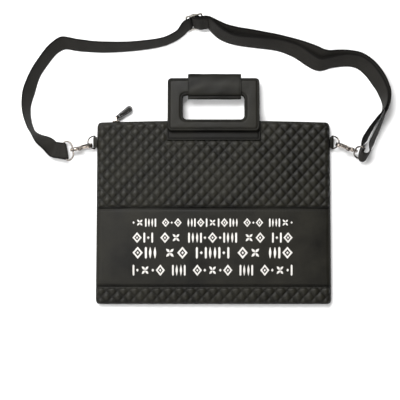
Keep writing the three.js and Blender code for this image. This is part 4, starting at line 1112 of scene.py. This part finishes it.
near_edge = np.array([0, 0.25, 0.8, 1.5, 2.1, 2.5, 2.8, 3.1, 3.5, 4.1])
px = np.concatenate([near_edge, np.linspace(5.5, PATCH_WIDTH - 5.5, 90), PATCH_WIDTH - near_edge[::-1]])
py = np.concatenate([near_edge, np.linspace(5.2, PATCH_HEIGHT - 5.2, 18), PATCH_HEIGHT - near_edge[::-1]])
gx, gy = np.meshgrid(px, py, indexing="ij")
from_edge = np.minimum(np.minimum(gx, PATCH_WIDTH - gx), np.minimum(gy, PATCH_HEIGHT - gy))
patch_x, patch_y = gx - PATCH_HALF, patch_stretch(gx - PATCH_HALF, gy)
groove = 0.7 * hump(from_edge - PATCH_BORDER, 0.75)
top = patch_top(patch_x, patch_y)
sheets = [top - 1.1 * (1 - quarter_round(from_edge, 2.2)) - groove, top - PATCH_THICK]
shell = wall(*(np.stack([patch_x, patch_y, z], -1) for z in sheets))
# Painted light: lighter along the edge as a highlight, darker in the stitched groove as shade, and darker all
# over as the handle's painted shadow, which is also why the patch takes the handle's darker leather.
rub_and_painted_light = 0.7 * hump(from_edge - 1.4, 0.9) - 2.2 * groove - 0.7
patch = new_object("handle_patch_cover", *shell, rub_and_painted_light=outer_only(rub_and_painted_light))
finish_piece(patch, handle_leather, stands_for="handle_patch", sharp=50)

x1, y0, y1 = PATCH_HALF - PATCH_BORDER, PATCH_BORDER, PATCH_HEIGHT - PATCH_BORDER
corners = [(-x1, y1), (-x1, y0), (x1, y0), (x1, y1), (-x1, y1)]
side_points, patch_up = 60, [0, 0.08, 0.997]
patch_lines = []
for a, b in zip(corners, corners[1:]):
    x, up = np.linspace(a, b, side_points).T
    y = patch_stretch(x, up)
    line = np.column_stack([x, y, patch_top(x, y) - 0.5])
    patch_lines.append((line, np.tile(patch_up, (side_points, 1))))
sew("patch_stitches", patch_lines, 3.4, 2.7, 0.3, 6)


# %% The padded frame
def rounded_rectangle(half_x, half_y, middle, radius, z, corner=9, straight=16):
    """Points round a rectangle with round corners, at the same places for every size."""
    r = max(0.5, radius)
    arcs, made = [], []
    for c, (sx, sy) in enumerate(((1, 1), (-1, 1), (-1, -1), (1, -1))):
        a = np.pi / 2 * (c + np.linspace(0, 1, corner))
        centre = np.array([sx * (half_x - r), middle + sy * (half_y - r)])
        arcs.append(centre + r * np.stack([np.cos(a), np.sin(a)], 1))
    for arc, following in zip(arcs, arcs[1:] + arcs[:1]):
        made += [arc, np.linspace(arc[-1], following[0], straight + 2)[1:-1]]
    flat = np.concatenate(made)
    return np.column_stack([flat, np.full(len(flat), z)])


# columns: how far the section lies inside the bar's edge, and its height, both in thicknesses
SECTION = [
    (0.2, 0.0), (0.09, 0.03), (0.02, 0.12), (0.0, 0.24), (0.0, 0.38), (0.015, 0.52), (0.05, 0.66),
    (0.11, 0.78), (0.18, 0.86), (0.25, 0.9), (0.31, 0.89), (0.36, 0.845), (0.41, 0.86), (0.47, 0.935),
    (0.56, 0.985), (0.68, 1.005), (0.8, 1.012),
]


def edge_loops(width, height, middle, inwards, corner_change):
    """The bar's section along its outer or its inner edge."""
    loops = []
    for i, h in SECTION:
        inset = i * BAR_THICK
        halves = (width / 2 + inwards * inset, height / 2 + inwards * inset)
        loops.append(rounded_rectangle(*halves, middle, CORNER + corner_change * inset, h * BAR_THICK))
    return loops


outer_loops = edge_loops(HANDLE_WIDTH, HANDLE_HEIGHT, HANDLE_HEIGHT / 2, -1, -0.6)
inner_loops = edge_loops(OPENING_WIDTH, OPENING_HEIGHT, BOTTOM_BAR + OPENING_HEIGHT / 2, 1, 0.8)
loops = np.array(outer_loops + inner_loops[::-1])
x, y, heights = loops[..., 0], loops[..., 1], np.clip(loops[..., 2] / BAR_THICK, 0, 1)
soft = 0.16 * np.sin(x / 7.3 + 1.0) * np.sin(y / 5.9) + 0.1 * np.sin(x / 3.1 + y / 4.3)
loops[..., 2] += soft * heights**2
heights = np.clip(loops[..., 2] / BAR_THICK, 0, 1)
# Painted light on the frame: tops of the padding lighter as a highlight, the groove beside the stitches
# darker as shade.
groove = hump(np.array([i for i, _ in SECTION + SECTION[::-1]]) - 0.37, 0.05)[:, None]
frame_cover = new_object("handle_frame_cover", *ring(in_handle(loops)), rub_and_painted_light=0.5 * heights**3 - 0.9 * groove)
finish_piece(frame_cover, handle_leather, stands_for="handle_frame", sharp=60)

STITCHED = 12
edge_rows = []
for loop in (outer_loops[STITCHED], inner_loops[STITCHED]):
    closed = np.concatenate([loop, loop[:1]])
    edge_rows.append((in_handle(closed + [0, 0, 0.1]), np.tile(handle_axes[2], (len(closed), 1))))
sew("handle_stitches", edge_rows, 3.2, 2.5, 0.27, 5)


# %% The grip sleeve
AROUND = 72
turn = 2 * np.pi * np.arange(AROUND) / AROUND
half_grip = BAR_THICK / 2 + 0.5 + GRIP_WALL
grip_middle, grip_from = HANDLE_HEIGHT - TOP_BAR / 2, 1.6 - GRIP_LENGTH / 2


def oblong(half_y, half_z, power):
    c, s = round_loop(AROUND)
    r = (np.abs(c) ** power + np.abs(s) ** power) ** (-1 / power)
    return np.stack([half_y * r * c, half_z * r * s], 1)


def grip_section(s, section):
    y, z = section.T
    return np.column_stack([np.full(AROUND, grip_from + s), grip_middle + y, BAR_THICK / 2 + z])


outside = oblong(GRIP_WIDTH / 2, half_grip, power=2.5)
hole = oblong(max(TOP_BAR / 2 + 0.6, GRIP_WIDTH / 2 - 3.2), BAR_THICK / 2 + 0.5, power=5)
near_end = np.array([0, 0.15, 0.6, 1.2, 1.7, 2.1, 2.6, 3.2])
between = np.linspace(4.4, GRIP_LENGTH - 4.4, 64)
stations = np.concatenate([near_end, between, GRIP_LENGTH - near_end[::-1]])
grip_normal = unit(outside / np.array([GRIP_WIDTH / 2, half_grip]) ** 2)
seam = 1.9 * hump(turn - np.pi + 0.7, 0.11)
grip_loops, grip_rub_and_painted_light = [], []
for s in stations:
    from_end = min(s, GRIP_LENGTH - s)
    end_round = 1 - float(quarter_round(np.array(from_end), 1.2))
    end_stitch = 0.32 * hump(from_end - 2.1, 0.45)
    crease = 0.2 * np.sin(3 * turn + s / 9) * np.sin(s / 13 + 1)
    crease += 0.12 * np.sin(7 * turn + s / 17 + 2 * np.sin(s / 21))
    drawn_in = end_round + end_stitch + seam - crease * min(1, from_end / 6)
    grip_loops.append(grip_section(s, outside - grip_normal * drawn_in[:, None]))
    # Painted light: crests of the creases lighter, their hollows darker, and painted shade in the seam's
    # groove.
    grip_rub_and_painted_light.append(0.2 + 2.2 * crease - 1.0 * seam)
for share in (0.995, 0.75, 0.5, 0.25, 0.005):
    grip_loops.append(grip_section(GRIP_LENGTH * share, hole))
    grip_rub_and_painted_light.append(np.zeros(AROUND))
grip = new_object("handle_grip_cover", *ring(in_handle(np.array(grip_loops))), rub_and_painted_light=grip_rub_and_painted_light)
finish_piece(grip, handle_leather, stands_for="handle_grip", sharp=60)

# %% [markdown]
# ## Side tabs, rings and hooks
# A short leather tab in each side seam holds a D-ring. A swivel hook is snapped on each ring, and
# its bow carries the strap. The rings and bows are bent wire, so they are round tubes along a line.
# The cast bodies and small plates keep the solid model's shape, with their edges rounded off, as
# casting and polishing leave them.


# %% Rounded copies of hard pieces
def rounded_copy(node, width, finish, body="bag"):
    """Stands for a hard node with a copy whose edges are rounded."""
    work = bmesh.new()
    work.from_mesh(nodes[node].data)
    bmesh.ops.remove_doubles(work, verts=work.verts, dist=2e-6)
    bmesh.ops.dissolve_limit(work, angle_limit=math.radians(1.0), verts=work.verts, edges=work.edges)
    rough = placed(node + "_rough", bpy.data.meshes.new(node + "_rough"))
    work.to_mesh(rough.data)
    work.free()
    bevel = rough.modifiers.new("round", "BEVEL")
    bevel.width, bevel.segments = width * MM, 3
    bevel.limit_method, bevel.angle_limit = "ANGLE", math.radians(34)
    bevel.use_clamp_overlap = True
    finish_piece(as_left(rough, node + "_polished"), finish, body=body, stands_for=node)


for side in ("left", "right"):
    rounded_copy(f"{side}_hook_body", 0.45, nickel)
    rounded_copy(f"{side}_hook_gate", 0.3, nickel, body=f"{side}_gate")
rounded_copy("zip_slider", 0.3, nickel)
rounded_copy("zip_puller", 0.35, black_metal, body="puller")
rounded_copy("puller_inlay", 0.4, inlay_leather, body="puller")

# %% Tabs and D-rings
RING_LEVEL, RING_WIRE, RING_HALF, RING_DEPTH = 109.0, 2.2, 9.8, 13.0
RING_TILT = math.radians(38)
TAB_OUT, TAB_REACH, TAB_HALF, TAB_FLAT, BAR_OUT = 0.1, 6.1, 8.3, 1.6, 3.2
tab_edge = float(half_width(level(RING_LEVEL))) + TAB_OUT

# The ring's course in shares of its depth and half height: a straight bar and a bent bow.
ring_track = [(0, 0.5), (0, 0.85), (0.03, 0.97)]
ring_track += [(math.cos(a), math.sin(a)) for a in np.radians(np.arange(78, -79, -12))]
ring_track += [(0.03, -0.97), (0, -0.85), (0, -0.5), (0, 0)]

# The tab's outline round the ring's bar, and its sections: place from one end, and how far drawn in.
turn = TAB_REACH - BAR_OUT
bend = [(BAR_OUT + turn * math.cos(t), turn * math.sin(t)) for t in np.linspace(-np.pi / 2, np.pi / 2, 17)]
behind = [(GAP, turn), (GAP, 0.5 * turn), (GAP, 0.0), (GAP, -0.5 * turn)]
tab_outline = np.array([(GAP, -turn), (TAB_FLAT, -turn), *bend, (TAB_FLAT, turn), *behind])
from_bar = unit(tab_outline - [BAR_OUT, 0.0])
tab_bore = [BAR_OUT, 0.0] + from_bar * (RING_WIRE / 2 + 0.5)
TAB_END = [(0.0, 0.5), (0.15, 0.2), (0.5, 0.0), (1.6, 0.0), (2.0, 0.18), (2.4, 0.0)]
tab_sections = [(d - TAB_HALF, tab_outline - from_bar * inset) for d, inset in TAB_END]
tab_sections += [(0, tab_outline - from_bar * 0.06)]
tab_sections += [(TAB_HALF - d, tab_outline - from_bar * inset) for d, inset in TAB_END[::-1]]
tab_sections += [(TAB_HALF, tab_bore), (-TAB_HALF, tab_bore)]

for side, sign in (("left", -1), ("right", 1)):
    start = np.array([sign * (tab_edge + BAR_OUT), RING_LEVEL, SEAM_LEVEL])
    out = np.array([sign * math.cos(RING_TILT), 0, math.sin(RING_TILT)])
    line = [start + out * RING_DEPTH * p + np.array([0, RING_HALF * q, 0]) for p, q in ring_track]
    tube_loops = wire_loops(smooth_line(line, 0.9, closed=True), RING_WIRE / 2, 16, closed=True)
    d_ring = new_object(f"{side}_d_ring_wire", *ring(tube_loops))
    # The wire takes the nickel's darker copy, painted shade.
    finish_piece(d_ring, wire_nickel_painted_shade, stands_for=f"{side}_d_ring")

    tab_loops = []
    for y, section in tab_sections:
        away, up = sign * (tab_edge + section[:, 0]), SEAM_LEVEL + section[:, 1]
        tab_loops.append(np.column_stack([away, np.full(len(section), RING_LEVEL + y), up]))
    points, faces = ring(tab_loops)
    tab = new_object(f"{side}_tab_leather", points, faces, rub_and_painted_light=np.full(len(points), 0.4))
    finish_piece(tab, handle_leather, stands_for=f"{side}_ring_tab", sharp=50)

# %% [markdown]
# The bow turns on the hook's post, so it is a round boss with a wire loop. Its straight bar carries
# the strap. Boss and wire are joined with a boolean, because a cast bow is one piece.

# %% Bows of the hooks
# columns: where the ring holds the hook, the hook's direction, and the bow's direction
HOOKS = {
    "left": ((-192.830, 103.464, 13.118), (-0.972, -0.2244, -0.06976), (0.20183, -0.94922, 0.24133)),
    "right": ((194.437, 104.656, 13.885), (0.9374, -0.34119, 0.06976), (0.12565, 0.51819, 0.84598)),
}
HOOK_LENGTH, BOW_WIRE, STRAP_WIDTH = 38.0, 2.6, 25.4
bow_half = STRAP_WIDTH / 2 + 2.5

# In the hook's own frame: the wire's course along and across, and the boss's places and radii.
arm = [(26.3, 2.4), (26.2, 5), (27.2, 0.66 * bow_half), (29.8, 0.88 * bow_half), (33, bow_half)]
arm += [(36, bow_half), (37.6, bow_half - 0.9), (HOOK_LENGTH, bow_half - 2.6), (HOOK_LENGTH, 0.4 * bow_half)]
bow_path = [(p, q, 0) for p, q in arm] + [(p, -q, 0) for p, q in arm[::-1]]
BOSS = [(24.55, 1.65), (24.55, 2.8), (24.9, 3.15), (26.3, 3.25), (27.7, 3.15), (28.05, 2.8), (28.05, 1.65)]
c, s = round_loop(32)
boss_loops = [np.stack([np.full(len(c), p), r * c, r * s], 1) for p, r in BOSS]


def joined(name, first, second):
    """The union of two closed pieces as one."""
    union = first.modifiers.new("join", "BOOLEAN")
    union.operation, union.solver, union.object = "UNION", "EXACT", second
    made = as_left(first, name)
    bpy.data.objects.remove(second)
    return made


for side, (contact, along, across) in HOOKS.items():
    hook_axes = np.stack([along, across, np.cross(along, across)])
    bow_line = smooth_line(np.array(contact) + np.array(bow_path) @ hook_axes, 0.9)
    wire = new_object("bow_wire", *rod(wire_loops(bow_line, BOW_WIRE / 2)))
    boss = new_object("bow_boss", *ring(np.array(contact) + np.array(boss_loops) @ hook_axes))
    bow = joined(f"{side}_bow_cast", wire, boss)
    # The bow takes the nickel's darker copy, painted shade.
    finish_piece(bow, wire_nickel_painted_shade, stands_for=f"{side}_hook_bow", sharp=35)

# %% [markdown]
# ## Strap
# The strap is one woven band that stands nearly on edge on the table. The solid model's strap has
# the right course but only four corners to a section. Its sections are followed from one end to the
# other, and a smooth curve through their middles carries a finer section: two faces with a slight
# swell, and rounded selvedges.


# %% The solid strap's sections
def strap_sections():
    """The corners of each section, from the end near the adjuster to the other end."""
    work = bmesh.new()
    work.from_mesh(nodes["strap"].data)
    bmesh.ops.remove_doubles(work, verts=work.verts, dist=2e-6)
    work.verts.ensure_lookup_table()
    near = {v.index: {e.other_vert(v).index for e in v.link_edges} for v in work.verts}
    place = {v.index: np.array(v.co) / MM for v in work.verts}
    work.free()
    # An end's four corners touch fewer others than the corners along the strap.
    ends = [v for v in near if len(near[v]) < 6]
    start = min(ends, key=lambda v: np.linalg.norm(place[v] - [-10, 290, 15]))
    layer = [v for v in ends if np.linalg.norm(place[v] - place[start]) < STRAP_WIDTH + 2]
    seen, sections = set(), []
    while layer:
        sections.append([place[v] for v in layer])
        seen.update(layer)
        layer = sorted({n for v in layer for n in near[v]} - seen)
    return sections


sections = strap_sections()
print("strap sections:", len(sections), "sizes:", sorted({len(section) for section in sections}))

# %% The strap's course
centres, widths = [], []
for corners in sections:
    # The nearest corner to the first one lies across the strap's thickness from it.
    order = sorted(range(1, 4), key=lambda k: np.linalg.norm(corners[k] - corners[0]))
    p = (corners[0] + corners[order[0]]) / 2
    q = (corners[order[1]] + corners[order[2]]) / 2
    w = unit(p - q)
    if widths and float(w @ widths[-1]) < 0:
        w = -w
    centres.append((p + q) / 2)
    widths.append(w)
print("strap length, mm:", round(float(length_along(np.array(centres))[-1])))

course, width_at = np.split(smooth_line(np.hstack([centres, widths]), 1.6), 2, axis=1)
far = length_along(course)
tangent = unit(np.gradient(course, axis=0))
width_at = unit(width_at - tangent * np.sum(width_at * tangent, 1, keepdims=True))
face_at = np.cross(tangent, width_at)

# %% The strap's section
STRAP_THICK = 1.8
t = np.linspace(-1, 1, 15)
half_thick = STRAP_THICK / 2 * (0.45 + 0.55 * (1 - np.abs(t) ** 7)) * np.where(np.abs(t) > 0.999, 0.6, 1)
across_mm = np.concatenate([t, t[::-1]]) * STRAP_WIDTH / 2
depth_mm = np.concatenate([half_thick, -half_thick[::-1]])
loops = course[:, None] + width_at[:, None] * across_mm[:, None] + face_at[:, None] * depth_mm[:, None]
uv = np.stack([np.repeat(far, len(across_mm)), np.tile(across_mm, len(course))], 1)
strap = new_object("strap_webbing_band", *rod(loops), uv=uv)
finish_piece(strap, webbing, stands_for="strap", sharp=50)


# %% Stitches of the strap's sewn ends
def strap_line(at, side, count=40):
    k = int(np.argmin(np.abs(far - at)))
    s = np.linspace(-0.86, 0.86, count) * STRAP_WIDTH / 2
    face = face_at[k] * side
    return course[k] + width_at[k] * s[:, None] + face * (STRAP_THICK / 2 + 0.05), np.tile(face, (count, 1))


sewn = [strap_line(at, side) for row in (5.0, 9.0) for at in (row, far[-1] - row) for side in (1, -1)]
sew("strap_stitches", sewn, 2.4, 2.0, 0.3, 6)

# %% [markdown]
# ## Adjuster
# The strap's length is set by a slide: a rounded frame of metal with a bar across its middle. The
# frame is a ring with a rounded section, and the bar is joined to it.

# %% The slide
SLIDE_CENTRE = np.array([-28.772, 295.126, 14.296])
SLIDE_HALF, SLIDE_EDGE, AROUND_EDGE = 12.2, 1.3, 12
slide_along, slide_across = np.array([0.97592, 0.21814, 0.0]), np.array([-0.12512, 0.55976, 0.81915])
slide_axes = np.stack([slide_along, slide_across, np.cross(slide_along, slide_across)])
window_half = STRAP_WIDTH / 2 + 0.6


def on_slide(points):
    return SLIDE_CENTRE + np.asarray(points, float) @ slide_axes


frame_loops = []
for c, s in zip(*round_loop(AROUND_EDGE)):
    c, s = (math.copysign(abs(x) ** 0.6, x) for x in (c, s))
    wide, tall = SLIDE_HALF + SLIDE_EDGE * c, window_half + SLIDE_EDGE + SLIDE_EDGE * c
    rim = rounded_rectangle(wide, tall, 0, 1.8 + 0.9 * c, 1.25 * s, corner=7, straight=6)
    frame_loops.append(on_slide(rim))
slide_frame = new_object("slide_frame", *ring(frame_loops))
bar_line = on_slide(np.outer(np.linspace(-window_half - 1.1, window_half + 1.1, 12), [0, 1, 0]))
slide_bar = new_object("slide_bar", *rod(wire_loops(bar_line, 1.4, 20)))
slide = joined("strap_slide", slide_frame, slide_bar)
# The slide takes the nickel's lighter copy, a painted highlight.
finish_piece(slide, slide_metal_painted_highlight, stands_for="strap_adjuster", sharp=35)
